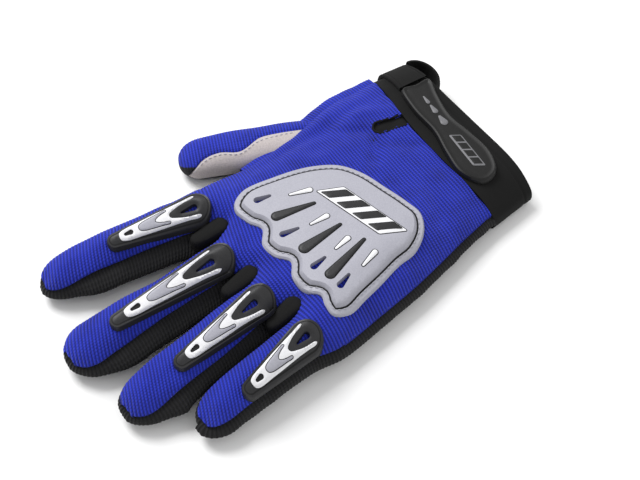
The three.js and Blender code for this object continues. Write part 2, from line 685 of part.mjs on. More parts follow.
function makeSlitGusset() {
  const steps = 5;
  const outer = [];
  const inner = [];
  const half = SLIT_WIDTH;
  for (let r = 0; r <= steps; r += 1) {
    const outerRow = [];
    const innerRow = [];
    for (let c = 0; c <= steps; c += 1) {
      const y = lerp(SEAM_GAP, SLIT_LENGTH + KNIT_WALL, r / steps);
      const x = SLIT_PLACE.x * HAND_WIDTH + lerp(half, -half, c / steps);
      const z = backHeight(x, y) - KNIT_WALL - 2 * SEAM_GAP;
      outerRow.push(new THREE.Vector3(x, y, z));
      innerRow.push(new THREE.Vector3(x, y, z - SLIT_BACKING));
    }
    outer.push(outerRow);
    inner.push(innerRow);
  }
  return rowsSolid(outer, inner, false);
}

function makePalmPanel() {
  return handSheet("palm", 4, 6, 8, palmHeight, PALM_WALL);
}

// Side walls
function palmHandPath(side, from, to, steps) {
  const points = [];
  const knuckles = knucklePoints("palm");
  const top = side > 0 ? knuckles[0].y : knuckles[4].y;
  const low = wristY(side > 0 ? 0 : 1);
  for (let j = 0; j <= steps; j += 1) {
    const y = lerp(low, top, lerp(from, to, j / steps));
    points.push(new THREE.Vector3(handEdge(side, y), y, PALM_TURN_UP));
  }
  return points;
}

function gussetRails() {
  const steps = 12;
  return { top: handPath(1, 0, CROTCH_SHARE, steps), low: palmHandPath(1, 0, CROTCH_SHARE, steps) };
}

function gussetBulge(share) {
  const turn = clamp(share * GUSSET_SWELL.rate + GUSSET_SWELL.start, 0, 1);
  return lerp(SIDE_BULGE, GUSSET_BULGE, Math.sin(Math.PI * turn) ** GUSSET_SWELL.power);
}

function makeGussetWall() {
  const { top, low } = gussetRails();
  return wallSolid(top, low, gussetBulge, KNIT_WALL);
}

// The hand's own space along the thumb side, as tall as the glove and more, a seam gap larger than the wall.
function makeHandCore() {
  const { top, low } = gussetRails();
  const stations = wallStations(top, low, gussetBulge);
  const outer = stations.map(({ normal, row }) => {
    const grownRow = row.map((p) => p.clone().addScaledVector(normal, SEAM_GAP));
    const above = grownRow[0].clone().setZ(HAND_HEIGHT * 2);
    const below = grownRow[grownRow.length - 1].clone().setZ(-HAND_HEIGHT);
    return [above, ...grownRow, below];
  });
  const inner = outer.map((row, i) => (
    row.map((p) => p.clone().addScaledVector(stations[i].normal, -HAND_WIDTH / 3))
  ));
  return rowsSolid(outer, inner, false);
}

function makeIndexWall() {
  const start = CROTCH_SHARE + SEAM_GAP / HAND_LENGTH;
  const top = [...handPath(1, start, 1, 4), ...sidePath(0, 1, "back").slice(1)];
  const low = [...palmHandPath(1, start, 1, 4), ...sidePath(0, 1, "palm").slice(1)];
  return wallSolid(top, low, SIDE_BULGE, KNIT_WALL);
}

function makeFourchette(finger) {
  const join = (rail) => [...sidePath(finger, -1, rail).reverse(), ...sidePath(finger + 1, 1, rail).slice(1)];
  return wallSolid(join("back"), join("palm"), SIDE_BULGE, KNIT_WALL);
}

function makeLittleBand() {
  const top = [...sidePath(3, -1, "back").reverse(), ...handPath(-1, 0, 1, 9).reverse().slice(1)];
  const low = [...sidePath(3, -1, "palm").reverse(), ...palmHandPath(-1, 0, 1, 9).reverse().slice(1)];
  return wallSolid(top, low, SIDE_BULGE * BAND_SWELL, KNIT_WALL);
}

// Thumb

function thumbPoint(along, turn, inset) {
  const splay = THREE.MathUtils.degToRad(THUMB_SPLAY);
  const run = new THREE.Vector2(Math.sin(splay), Math.cos(splay));
  const across = new THREE.Vector2(run.y, -run.x);
  const nearTip = clamp((along * THUMB_LENGTH - (THUMB_LENGTH - THUMB_ROUND)) / THUMB_ROUND, 0, 1);
  const round = (1 - nearTip ** THUMB_POWER) ** (1 / THUMB_POWER);
  const fullHeight = column(THUMB_SECTIONS, "along", "height", along) * THUMB_HEIGHT;
  const half = column(THUMB_SECTIONS, "along", "half", along) * THUMB_WIDTH * round - inset;
  const high = fullHeight / 2 * round - inset;
  const angle = turn * 2 * Math.PI;
  const bend = (v) => Math.sign(v) * Math.abs(v) ** SECTION_POWER;
  const reach = along * THUMB_LENGTH;
  const x = THUMB_ROOT.x * HAND_WIDTH + run.x * reach + across.x * half * bend(Math.cos(angle));
  const y = THUMB_ROOT.y * HAND_LENGTH + run.y * reach + across.y * half * bend(Math.cos(angle));
  return new THREE.Vector3(x, y, fullHeight / 2 + high * bend(Math.sin(angle)));
}

function thumbPanel(from, to, columns, firstAlong) {
  const outer = [];
  const inner = [];
  for (let r = 0; r <= THUMB_STEPS; r += 1) {
    const along = lerp(firstAlong, THUMB_TIP, easeToTip(r, THUMB_STEPS));
    const girth = Math.PI * THUMB_WIDTH * (1 - THUMB_CROWD.share * (r / THUMB_STEPS) ** THUMB_CROWD.power);
    const low = from(along) + SEAM_GAP / girth;
    const high = to(along) - SEAM_GAP / girth;
    const outerRow = [];
    const innerRow = [];
    for (let c = 0; c <= columns; c += 1) {
      const turn = lerp(low, high, c / columns);
      outerRow.push(thumbPoint(along, turn, 0));
      innerRow.push(thumbPoint(along * (1 - KNIT_WALL / THUMB_LENGTH), turn, KNIT_WALL));
    }
    outer.push(outerRow);
    inner.push(innerRow);
  }
  return rowsSolid(outer, inner, false);
}

// The thumb's opening through the gusset, cut from top to bottom.
function makeThumbOpening() {
  const shape = new THREE.Shape();
  const shares = Array.from({ length: 13 }, (_, i) => i / 12 * THUMB_TIP);
  const inner = shares.map((along) => thumbPoint(along, 0.5, -SEAM_GAP));
  const outer = [...shares].reverse().map((along) => thumbPoint(along, 0, -SEAM_GAP));
  shape.setFromPoints([...inner, ...outer].map((p) => new THREE.Vector2(p.x, p.y)));
  const geometry = new THREE.ExtrudeGeometry(shape, { depth: HAND_HEIGHT * 2, bevelEnabled: false });
  geometry.translate(0, 0, -HAND_HEIGHT / 2);
  return geometry;
}

// Cuff: a loop round the wrist taken from the hand's own section there.
function cuffLoop() {
  const loop = [];
  const left = handEdge(1, wristY(0));
  const right = handEdge(-1, wristY(1));
  for (let c = 0; c <= CUFF_TOP_STEPS; c += 1) {
    const across = c / CUFF_TOP_STEPS;
    const x = lerp(left, right, across);
    loop.push({ x, across, z: backHeight(x, wristY(across)) });
  }
  loop.push({ x: right - SIDE_BULGE, across: 1, z: handSeamHeight(-1, 0) * CUFF_SIDE });
  loop.push({ x: right - SIDE_BULGE, across: 1, z: PALM_TURN_UP });
  for (let c = 0; c <= 6; c += 1) {
    const across = 1 - (c + 0.25) / 6.5;
    loop.push({ x: lerp(left, right, across), across, z: 0 });
  }
  loop.push({ x: left + SIDE_BULGE, across: 0, z: PALM_TURN_UP });
  loop.push({ x: left + SIDE_BULGE, across: 0, z: handSeamHeight(1, 0) * CUFF_SIDE });
  return loop;
}

function cuffPoint(entry, share, offset) {
  const middle = (handEdge(1, 0) + handEdge(-1, 0)) / 2;
  const x = middle + (entry.x - middle) * (1 - CUFF_TAPER * share);
  const y = lerp(wristY(entry.across) - SEAM_GAP, -CUFF_LENGTH, share);
  return new THREE.Vector3(x + entry.nx * offset, y, entry.z * (1 - CUFF_TAPER * share) + entry.nz * offset);
}

function cuffEntries() {
  const loop = cuffLoop();
  return loop.map((entry, i) => {
    const before = loop[(i + loop.length - 1) % loop.length];
    const after = loop[(i + 1) % loop.length];
    const length = Math.hypot(after.x - before.x, after.z - before.z);
    return { ...entry, nx: (after.z - before.z) / length, nz: -(after.x - before.x) / length };
  });
}

function makeCuff() {
  const entries = cuffEntries();
  const rows = [0, 0.5, 1];
  const outer = rows.map((share) => entries.map((entry) => cuffPoint(entry, share, 0)));
  const inner = rows.map((share) => entries.map((entry) => cuffPoint(entry, share, -CUFF_WALL)));
  return rowsSolid(outer, inner, true);
}

function cuffHeight(x, y) {
  const left = handEdge(1, wristY(0));
  const right = handEdge(-1, wristY(1));
  const across = clamp((left - x) / (left - right), 0, 1);
  const front = wristY(across);
  const share = clamp((front - y) / (front + CUFF_LENGTH), 0, 1);
  return backHeight(x, Math.min(y, front)) * (1 - CUFF_TAPER * share);
}

// Strap: comes up round the thumb side of the cuff and carries the closure tab.
function makeStrap() {
  const entries = cuffEntries();
  const count = entries.length;
  const picked = [entries[count - 2], entries[count - 1], ...entries.slice(0, STRAP_REACH + 1)];
  const shares = [STRAP_FRONT, 1 - SEAM_GAP / CUFF_LENGTH];
  const outer = picked.map((e) => shares.map((share) => cuffPoint(e, share, SEAM_GAP + STRAP_WALL)));
  const inner = picked.map((e) => shares.map((share) => cuffPoint(e, share, SEAM_GAP)));
  return rowsSolid(outer, inner, false);
}

function makePullLoop() {
  const shape = new THREE.Shape();
  const half = LOOP_WIDTH / 2;
  shape.absellipse(0, 0, half, LOOP_DEPTH, Math.PI, 2 * Math.PI, false);
  shape.lineTo(half - STRAP_WALL, 0);
  shape.absellipse(0, 0, half - STRAP_WALL, LOOP_DEPTH - STRAP_WALL, 2 * Math.PI, Math.PI, true);
  shape.closePath();
  const geometry = new THREE.ExtrudeGeometry(shape, {
    depth: LOOP_BAND, bevelEnabled: false, curveSegments: 8,
  });
  geometry.translate(handEdge(1, 0) - half, -CUFF_LENGTH - SEAM_GAP, HAND_HEIGHT * LOOP_FOOT);
  return geometry;
}

// Flat patches laid on a curved base. The outline is a closed list of plan points round a centre.
function patchSolid(outline, centre, rings, height) {
  const outer = [];
  const inner = [];
  const count = outline.length;
  for (const ring of rings) {
    for (const p of outline) {
      const x = lerp(centre.x, p.x, ring.share);
      const y = lerp(centre.y, p.y, ring.share);
      outer.push(new THREE.Vector3(x, y, height(x, y) + ring.high));
      inner.push(new THREE.Vector3(x, y, height(x, y) + ring.low));
    }
  }
  const last = rings[rings.length - 1];
  outer.push(new THREE.Vector3(centre.x, centre.y, height(centre.x, centre.y) + last.high));
  inner.push(new THREE.Vector3(centre.x, centre.y, height(centre.x, centre.y) + last.low));
  const quads = [];
  for (let r = 0; r < rings.length; r += 1) {
    for (let c = 0; c < count; c += 1) {
      const a = r * count + c;
      const b = r * count + (c + 1) % count;
      if (r + 1 < rings.length) quads.push([a, b, b + count, a + count]);
      else quads.push([a, b, rings.length * count]);
    }
  }
  return solidGeometry(outer, inner, quads);
}

function averagePoint(outline) {
  const middle = new THREE.Vector2();
  for (const p of outline) middle.addScaledVector(p, 1 / outline.length);
  return middle;
}

// Teardrop outline between two ends of different radius.
function dropOutline(a, b, radius, endRadius, steps) {
  const run = b.clone().sub(a);
  const heading = Math.atan2(run.y, run.x);
  const lean = Math.acos(clamp((radius - endRadius) / run.length(), -1, 1));
  const points = [];
  for (let i = 0; i <= steps; i += 1) {
    const angle = heading + lerp(lean, 2 * Math.PI - lean, i / steps);
    points.push(new THREE.Vector2(a.x + Math.cos(angle) * radius, a.y + Math.sin(angle) * radius));
  }
  for (let i = 0; i <= steps / 2; i += 1) {
    const angle = heading + lerp(-lean, lean, i / (steps / 2));
    points.push(new THREE.Vector2(b.x + Math.cos(angle) * endRadius, b.y + Math.sin(angle) * endRadius));
  }
  return points;
}

// Knuckle guard with pockets for its inserts and slots right through
function guardPoint(x, y) {
  return new THREE.Vector2(
    GUARD_PLACE.x * HAND_WIDTH + x * GUARD_WIDTH, GUARD_PLACE.y * HAND_LENGTH + y * GUARD_LENGTH,
  );
}

function guardOutline() {
  const points = GUARD_OUTLINE.map((p) => new THREE.Vector3(p.x * GUARD_WIDTH, p.y * GUARD_LENGTH, 0));
  const curve = new THREE.CatmullRomCurve3(points, true, "centripetal");
  return curve.getSpacedPoints(GUARD_STEPS).slice(0, -1)
    .map((p) => guardPoint(p.x / GUARD_WIDTH, p.y / GUARD_LENGTH));
}

const guardTop = (x, y) => backHeight(x, y) + SEAM_GAP + GUARD_PLATEAU;

function guardDrop(drop) {
  const front = guardPoint(drop.x, drop.y * GUARD_WIDTH / GUARD_LENGTH);
  const rear = guardPoint(drop.endX, drop.endY * GUARD_WIDTH / GUARD_LENGTH);
  return dropOutline(front, rear, drop.radius * GUARD_WIDTH, drop.endRadius * GUARD_WIDTH, 6);
}

function badgeOutline(grow, from, to) {
  const turn = THREE.MathUtils.degToRad(BADGE.turn);
  const corners = [
    [from, -0.5], [to, -0.5], [to, 0.5], [from, 0.5],
  ];
  const centre = guardPoint(BADGE.x, BADGE.y);
  return corners.map(([along, up]) => {
    const outward = Math.sign(along - (from + to) / 2);
    const x = (along * BADGE.length + up * 2 * BADGE.lean) * GUARD_WIDTH + outward * grow;
    const y = up * (BADGE.height * GUARD_WIDTH + 2 * grow);
    return new THREE.Vector2(
      centre.x + x * Math.cos(turn) - y * Math.sin(turn), centre.y + x * Math.sin(turn) + y * Math.cos(turn),
    );
  });
}

function grown(outline, centre, grow) {
  return outline.map((p) => {
    const away = p.clone().sub(centre);
    return p.clone().addScaledVector(away.normalize(), grow);
  });
}

function pocket(outline, height, low) {
  return toManifold(insert(outline, height, low, HAND_HEIGHT));
}

function insert(outline, height, low, high) {
  return patchSolid(outline, averagePoint(outline), [{ share: 1, high, low }], height);
}

function makeGuard(backPanel) {
  const outline = guardOutline();
  const border = 2 * GUARD_BORDER / GUARD_WIDTH;
  const base = (x, y) => backHeight(x, y) + SEAM_GAP;
  const rings = [
    { share: 1, high: GUARD_FLANGE, low: SEAT_SINK },
    { share: 1 - border, high: GUARD_FLANGE, low: SEAT_SINK },
    { share: 1 - border * GUARD_RISE, high: GUARD_PLATEAU, low: SEAT_SINK },
    { share: GUARD_RING, high: GUARD_PLATEAU, low: SEAT_SINK },
  ];
  const pocketFloor = -INSERT_DEPTH - SEAM_GAP;
  let guard = seated(toManifold(patchSolid(outline, guardPoint(0, 0), rings, base)), backPanel);
  for (const drop of GUARD_DROPS) {
    const shape = guardDrop(drop);
    const cut = drop.kind === "slot" ? shape : grown(shape, averagePoint(shape), SEAM_GAP);
    guard = guard.subtract(pocket(cut, guardTop, drop.kind === "slot" ? -HAND_HEIGHT : pocketFloor));
  }
  guard = guard.subtract(pocket(badgeOutline(SEAM_GAP, -0.5, 0.5), guardTop, pocketFloor));
  return fromManifold(guard);
}

function makeGuardInserts() {
  for (const drop of GUARD_DROPS.filter((d) => d.kind !== "slot")) {
    const piece = insert(guardDrop(drop), guardTop, -INSERT_DEPTH, INSERT_PROUD);
    addPiece(drop.name, piece, drop.kind === "white" ? "whiteRubber" : "blackRubber");
  }
  const badge = insert(badgeOutline(0, -0.5, 0.5), guardTop, -INSERT_DEPTH, INSERT_PROUD);
  addPiece("guard_badge", badge, "whiteRubber");
  const barLow = INSERT_PROUD + SEAM_GAP;
  for (let i = 0; i < BADGE_BARS; i += 1) {
    const from = -0.5 + (i + BAR_SPAN.from) / BADGE_BARS;
    const to = -0.5 + (i + BAR_SPAN.to) / BADGE_BARS;
    const bar = insert(badgeOutline(-SEAM_GAP * 2, from, to), guardTop, barLow, barLow + INSERT_PROUD);
    addPiece(`guard_bar_${i + 1}`, bar, "blackRubber");
  }
}

// Finger armour: a long drop pad, a forked white inlay and a grey inlay between its arms
function armourAxis(armour) {
  const butt = new THREE.Vector2(armour.buttX * HAND_WIDTH, armour.buttY * HAND_LENGTH);
  const point = new THREE.Vector2(armour.pointX * HAND_WIDTH, armour.pointY * HAND_LENGTH);
  const run = point.clone().sub(butt);
  return { butt, length: run.length(), run: run.normalize() };
}

function armourPlace(armour, along, across) {
  const { butt, run } = armourAxis(armour);
  return new THREE.Vector2(butt.x + run.x * along + run.y * across, butt.y + run.y * along - run.x * across);
}

function armourOutline(armour, inset) {
  const { length } = armourAxis(armour);
  const big = ARMOUR_WIDTH * ARMOUR_BUTT;
  const small = ARMOUR_WIDTH * ARMOUR_POINT;
  return dropOutline(
    armourPlace(armour, big, 0), armourPlace(armour, length - small, 0), big - inset, small - inset, 12,
  );
}

const armourTop = (x, y) => backHeight(x, y) + SEAM_GAP + ARMOUR_THICKNESS;

function forkOutline(armour, grow) {
  const { length } = armourAxis(armour);
  const place = (p, side) => armourPlace(armour, p.along * length, side * p.across * ARMOUR_WIDTH);
  const points = [...FORK.map((p) => place(p, 1)), ...[...FORK].reverse().map((p) => place(p, -1))];
  if (!grow) return points;
  return points.map((p, i) => {
    const before = points[(i + points.length - 1) % points.length];
    const after = points[(i + 1) % points.length];
    const edge = after.clone().sub(before).normalize();
    return new THREE.Vector2(p.x - edge.y * grow, p.y + edge.x * grow);
  });
}

function prism(outline, height, low, high) {
  const faces = THREE.ShapeUtils.triangulateShape(outline, []);
  const outer = outline.map((p) => new THREE.Vector3(p.x, p.y, height(p.x, p.y) + high));
  const inner = outline.map((p) => new THREE.Vector3(p.x, p.y, height(p.x, p.y) + low));
  return solidGeometry(outer, inner, faces);
}

function makeArmours(backPanel) {
  for (const armour of ARMOURS) {
    const base = (x, y) => backHeight(x, y) + SEAM_GAP;
    const centre = armourPlace(armour, armourAxis(armour).length * ARMOUR_MIDDLE, 0);
    const outline = armourOutline(armour, 0);
    const rim = 2 * ARMOUR_RIM / ARMOUR_WIDTH;
    const rings = [
      { share: 1, high: ARMOUR_THICKNESS * ARMOUR_WALL, low: SEAT_SINK },
      { share: 1 - rim * ARMOUR_EASE, high: ARMOUR_THICKNESS, low: SEAT_SINK },
      { share: ARMOUR_RING, high: ARMOUR_THICKNESS, low: SEAT_SINK },
    ];
    const depth = INSERT_DEPTH + SEAM_GAP;
    const pad = seated(toManifold(patchSolid(outline, centre, rings, base)), backPanel)
      .subtract(toManifold(prism(forkOutline(armour, SEAM_GAP), armourTop, -depth, HAND_HEIGHT)));
    addPiece(`${armour.name}_armour`, fromManifold(pad), "blackRubber");
    const fork = toManifold(prism(forkOutline(armour, 0), armourTop, -depth, INSERT_PROUD));
    addPiece(`${armour.name}_fork`, fromManifold(seated(fork, pad)), "whiteRubber");
    const { length } = armourAxis(armour);
    const inlay = dropOutline(
      armourPlace(armour, length * INLAY.from, 0), armourPlace(armour, length * INLAY.to, 0),
      ARMOUR_WIDTH * INLAY.radius, ARMOUR_WIDTH * INLAY.endRadius, 6,
    );
    const low = INSERT_PROUD + SEAM_GAP;
    addPiece(`${armour.name}_inlay`, insert(inlay, armourTop, low, low + INSERT_PROUD), "greyRubber");
  }
}

// Closure tab with its drops and badge plate. It starts where the strap ends.
const strapEnd = lerp(handEdge(1, 0), handEdge(-1, 0), STRAP_REACH / CUFF_TOP_STEPS);
const tabStart = strapEnd - 2 * SEAM_GAP - TAB_WIDTH * TAB_TUCK;

function tabPlace(along, across) {
  const turn = THREE.MathUtils.degToRad(TAB_PLACE.turn);
  const x = along * TAB_LENGTH;
  const y = across * TAB_WIDTH;
  return new THREE.Vector2(
    tabStart + x * Math.cos(turn) - y * Math.sin(turn),
    TAB_PLACE.y * HAND_LENGTH + x * Math.sin(turn) + y * Math.cos(turn),
  );
}

const tabBase = (x, y) => cuffHeight(x, y) + SEAM_GAP;
const tabTop = (x, y) => tabBase(x, y) + TAB_THICKNESS;

function makeTab(carriers) {
  const points = TAB_OUTLINE.map((p) => new THREE.Vector3(p.x, p.y, 0));
  const curve = new THREE.CatmullRomCurve3(points, true, "centripetal");
  const outline = curve.getSpacedPoints(32).slice(0, -1).map((p) => tabPlace(p.x, p.y));
  const rings = [
    { share: 1, high: TAB_THICKNESS * TAB_EDGE.wall, low: SEAT_SINK },
    { share: TAB_EDGE.share, high: TAB_THICKNESS, low: SEAT_SINK },
    { share: TAB_RING, high: TAB_THICKNESS, low: SEAT_SINK },
  ];
  const tab = carriers.reduce(seated, toManifold(patchSolid(outline, tabPlace(0.5, 0), rings, tabBase)));
  addPiece("closure_tab", fromManifold(tab), "blackRubber");
  for (const drop of TAB_DROPS) {
    const radius = drop.radius * TAB_WIDTH;
    const shape = dropOutline(tabPlace(drop.x, 0), tabPlace(drop.x - TAB_DROP.length, 0), radius,
      radius * TAB_DROP.taper, 8);
    addPiece(drop.name, insert(shape, tabTop, SEAM_GAP, SEAM_GAP + DROP_DEPTH), "greyRubber");
  }
  const badge = [[-0.5, -0.5], [0.5, -0.5], [0.5, 0.5], [-0.5, 0.5]].map(([a, b]) => (
    tabPlace(TAB_BADGE.x + a * TAB_BADGE.length + b * TAB_BADGE.lean, TAB_BADGE.y + b * TAB_BADGE.height)
  ));
  addPiece("tab_badge", insert(badge, tabTop, SEAM_GAP, SEAM_GAP + DROP_DEPTH), "whiteRubber");
}

// Assembly
const backPanel = makeBackPanel();
addPiece("back_panel", fromManifold(backPanel), "knit");
addPiece("slit_gusset", makeSlitGusset(), "sideKnit");
addPiece("palm_panel", makePalmPanel(), "leather");

const handCore = toManifold(makeHandCore());
const gussetParts = toManifold(makeGussetWall()).subtract(toManifold(makeThumbOpening())).decompose()
  .sort((a, b) => a.boundingBox().min[1] - b.boundingBox().min[1]);
addPiece("thumb_gusset", fromManifold(gussetParts[0]), "knit");
addPiece("thumb_crotch", fromManifold(gussetParts[1]), "knit");
addPiece("index_side_wall", makeIndexWall(), "sideKnit");
addPiece("index_middle_fourchette", makeFourchette(0), "sideKnit");
addPiece("middle_ring_fourchette", makeFourchette(1), "sideKnit");
addPiece("ring_little_fourchette", makeFourchette(2), "sideKnit");
addPiece("little_side_band", makeLittleBand(), "sideKnit");

const padEdge = (along) => column(PAD_EDGE, "along", "turn", along);
const thumbPieces = [
  { name: "thumb_back", from: () => OUTER_EDGE, to: padEdge, columns: 7, finish: "knit" },
  { name: "thumb_pad", from: padEdge, to: () => UNDER_EDGE, columns: 6, finish: "suede" },
  { name: "thumb_under", from: () => UNDER_EDGE, to: () => 1 + OUTER_EDGE, columns: 6, finish: "leather" },
];
for (const piece of thumbPieces) {
  const panel = toManifold(thumbPanel(piece.from, piece.to, piece.columns, THUMB_START));
  addPiece(piece.name, fromManifold(panel.subtract(handCore)), piece.finish);
}

const cuff = makeCuff();
addPiece("cuff", cuff, "neoprene");
addPiece("wrist_strap", makeStrap(), "neoprene");
addPiece("pull_loop", makePullLoop(), "neoprene");
makeTab([toManifold(cuff), backPanel]);
addPiece("knuckle_guard", makeGuard(backPanel), "greyRubber");
makeGuardInserts();
makeArmours(backPanel);

const box = new THREE.Box3().setFromObject(glove);
const centre = box.getCenter(new THREE.Vector3());
glove.position.set(-centre.x, -centre.y, -box.min.z);

export default glove;
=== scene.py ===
"""A left-hand motocross glove lying on its palm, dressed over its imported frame.

Lengths are millimetres in the cutting pattern, where y runs from the wrist seam to the
fingertips, x to the thumb side and z up. Meshes are made in metres, in the frame's own place.
"""

import logging
import math
from dataclasses import dataclass, field
from enum import Enum
from functools import cached_property
from typing import Callable, Iterable, Sequence

import bmesh
import bpy
import numpy as np
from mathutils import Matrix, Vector
from mathutils.geometry import delaunay_2d_cdt

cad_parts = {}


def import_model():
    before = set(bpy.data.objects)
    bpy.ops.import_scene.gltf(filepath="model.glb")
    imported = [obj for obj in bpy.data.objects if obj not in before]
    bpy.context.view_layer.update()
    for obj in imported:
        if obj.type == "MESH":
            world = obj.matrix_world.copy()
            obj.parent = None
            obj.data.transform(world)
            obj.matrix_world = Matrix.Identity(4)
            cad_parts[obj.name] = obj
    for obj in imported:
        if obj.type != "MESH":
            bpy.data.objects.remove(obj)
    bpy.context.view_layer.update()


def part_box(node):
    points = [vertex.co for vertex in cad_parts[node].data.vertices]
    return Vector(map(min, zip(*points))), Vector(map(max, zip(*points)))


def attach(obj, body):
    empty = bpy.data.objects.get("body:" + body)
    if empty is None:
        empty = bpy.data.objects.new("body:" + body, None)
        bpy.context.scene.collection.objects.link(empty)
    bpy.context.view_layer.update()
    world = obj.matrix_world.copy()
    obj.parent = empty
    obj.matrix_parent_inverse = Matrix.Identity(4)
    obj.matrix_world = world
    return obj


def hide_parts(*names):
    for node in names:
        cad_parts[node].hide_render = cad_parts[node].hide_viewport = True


Array = np.ndarray
Height = Callable[[Array, Array], Array]
Profile = Callable[[Array, Array, Array], Array]
Rim = Sequence[tuple[float, float]]

METRE = 0.001
SEAM_GAP = 0.3
WALL_SWELL = 2.4
CLOTH_PITCH = 1.5
WALL_PITCH = 1.6
RUBBER_FOOT = 0.35
TINY = 1e-9
CURVE_STEPS = 24
WELD_DISTANCE = 2e-6
PLAN_TOLERANCE = 1e-7
MOULD_ANGLE = 38

log = logging.getLogger("glove")


class Side(Enum):
    """The two sides of a finger or of the hand."""

    THUMB = 1
    LITTLE = -1


class Rail(Enum):
    """The two seam lines that the side walls hang between."""

    BACK = "back"
    PALM = "palm"


def smooth(share: Array) -> Array:
    """A soft step from 0 to 1."""
    share = np.clip(share, 0, 1)
    return share * share * (3 - 2 * share)


def mix(low: Array, high: Array, share: Array) -> Array:
    """The value between low and high at share."""
    return low + (high - low) * share


def bulge(share: Array) -> Array:
    """A swell that is 0 at both ends and 1 in the middle."""
    return 4 * share * (1 - share)


def round_edge(depth: Array, radius: float) -> Array:
    """Height share of a rounded edge at a depth inside it."""
    share = 1 - np.clip(depth / radius, 0, 1)
    return np.sqrt(1 - share * share)


def bump_at(distance: Array, width: float) -> Array:
    """A soft ridge of unit height at distance 0."""
    return np.exp(-((distance / width) ** 2))


def flat(points: Iterable[Sequence[float]]) -> Array:
    """Points as an array of rows."""
    return np.array(list(points), float)


def joined(*values: Array) -> Array:
    """Values spread over one grid and put side by side."""
    return np.stack(np.broadcast_arrays(*values), axis=-1)


def crowded(steps: int) -> Array:
    """Shares from 0 to 1, closer together towards 1."""
    return 1 - (1 - np.linspace(0, 1, steps + 1)) ** 1.5


def unit(vectors: Array) -> Array:
    """Vectors with the same directions and a length of 1."""
    return vectors / np.maximum(np.linalg.norm(vectors, axis=-1, keepdims=True), TINY)


def measured(path: Array) -> Array:
    """Each point's distance along a path."""
    return np.concatenate([[0], np.cumsum(np.linalg.norm(np.diff(path, axis=0), axis=1))])


def read_path(path: Array, lengths: Array, at: Array) -> Array:
    """Points of a path at distances along it."""
    return np.stack([np.interp(at, lengths, path[:, k]) for k in range(path.shape[1])], axis=1)


def drawn_in(reach: Array, length: float, taper: float, power: float) -> Array:
    """Share of the full width at a place along something with a rounded tip.

    Args:
        reach: the places.
        length: where the tip ends.
        taper: how far before the tip it begins to draw in.
        power: how square the tip is, 2 for an ellipse.

    Returns:
        The shares, 0 at the tip.
    """
    near_tip = np.clip((reach - (length - taper)) / taper, 0, 1)
    return (1 - near_tip**power) ** (1 / power)


def off_segment(x: Array, y: Array, a: Sequence[float], b: Sequence[float]) -> tuple[Array, Array]:
    """Distance in plan from points to a segment, and how far along it the nearest place lies."""
    dx, dy = b[0] - a[0], b[1] - a[1]
    share = np.clip(((x - a[0]) * dx + (y - a[1]) * dy) / max(dx * dx + dy * dy, TINY), 0, 1)
    return np.hypot(x - a[0] - share * dx, y - a[1] - share * dy), share


@dataclass(frozen=True)
class Table:
    """Rows with named columns, the first of them the place, read by a smooth curve."""

    names: tuple[str, ...]
    rows: tuple[tuple[float, ...], ...]

    def read(self, name: str, at: Array) -> Array:
        """Reads a column.

        Args:
            name: the column.
            at: the places to read it at.

        Returns:
            The column's value at each place.
        """
        place = flat(self.rows)[:, 0]
        value = flat(self.rows)[:, self.names.index(name)]
        last = len(place) - 1
        at = np.clip(at, place[0], place[-1])
        i = np.clip(np.searchsorted(place, at, side="left") - 1, 0, last - 1)
        low = np.maximum(np.arange(last + 1) - 1, 0)
        high = np.minimum(np.arange(last + 1) + 1, last)
        slope = (value[high] - value[low]) / (place[high] - place[low])
        span = place[i + 1] - place[i]
        q = (at - place[i]) / span
        rise = q * q * (3 - 2 * q)
        bend = slope[i] * q * (1 - q) ** 2 - slope[i + 1] * q * q * (1 - q)
        return value[i] * (1 - rise) + value[i + 1] * rise + span * bend


def resample(path: Array, step: float) -> Array:
    """A path again with points at an even spacing near step."""
    lengths = measured(path)
    count = max(int(round(lengths[-1] / step)), 2)
    return read_path(path, lengths, np.linspace(0, lengths[-1], count + 1))


def closed_curve(points: Array, count: int) -> Array:
    """A smooth closed curve through plan points.

    Args:
        points: the points in order.
        count: how many points the curve gets, evenly spaced.

    Returns:
        The curve's points, the first not repeated.
    """
    after = np.roll(points, -1, 0)
    before = np.roll(points, 1, 0)
    beyond = np.roll(points, -2, 0)
    d0 = np.sqrt(np.linalg.norm(points - before, axis=1))[:, None]
    d1 = np.sqrt(np.linalg.norm(after - points, axis=1))[:, None]
    d2 = np.sqrt(np.linalg.norm(beyond - after, axis=1))[:, None]
    t1 = ((points - before) / d0 - (after - before) / (d0 + d1) + (after - points) / d1) * d1
    t2 = ((after - points) / d1 - (beyond - points) / (d1 + d2) + (beyond - after) / d2) * d1
    q = np.linspace(0, 1, CURVE_STEPS, endpoint=False)[None, :, None]
    curve = (
        points[:, None] * (2 * q**3 - 3 * q**2 + 1) + t1[:, None] * (q**3 - 2 * q**2 + q)
        + after[:, None] * (3 * q**2 - 2 * q**3) + t2[:, None] * (q**3 - q**2)
    )
    fine = curve.reshape(-1, points.shape[1])
    ring = np.concatenate([fine, fine[:1]])
    lengths = measured(ring)
    return read_path(ring, lengths, np.linspace(0, lengths[-1], count, endpoint=False))


def signed_area(outline: Array) -> float:
    """Twice the area of an outline, positive when it runs anticlockwise."""
    x, y = outline[:, 0], outline[:, 1]
    return float(np.sum(x * np.roll(y, -1) - y * np.roll(x, -1)))


def inset(outline: Array, depth: Array | float) -> Array:
    """An outline moved inwards by depth, outwards where depth is negative."""
    run = unit(np.roll(outline, -1, 0) - np.roll(outline, 1, 0))
    inward = np.stack([-run[:, 1], run[:, 0]], axis=1) * math.copysign(1, signed_area(outline))
    return outline + inward * np.broadcast_to(depth, len(outline))[:, None]


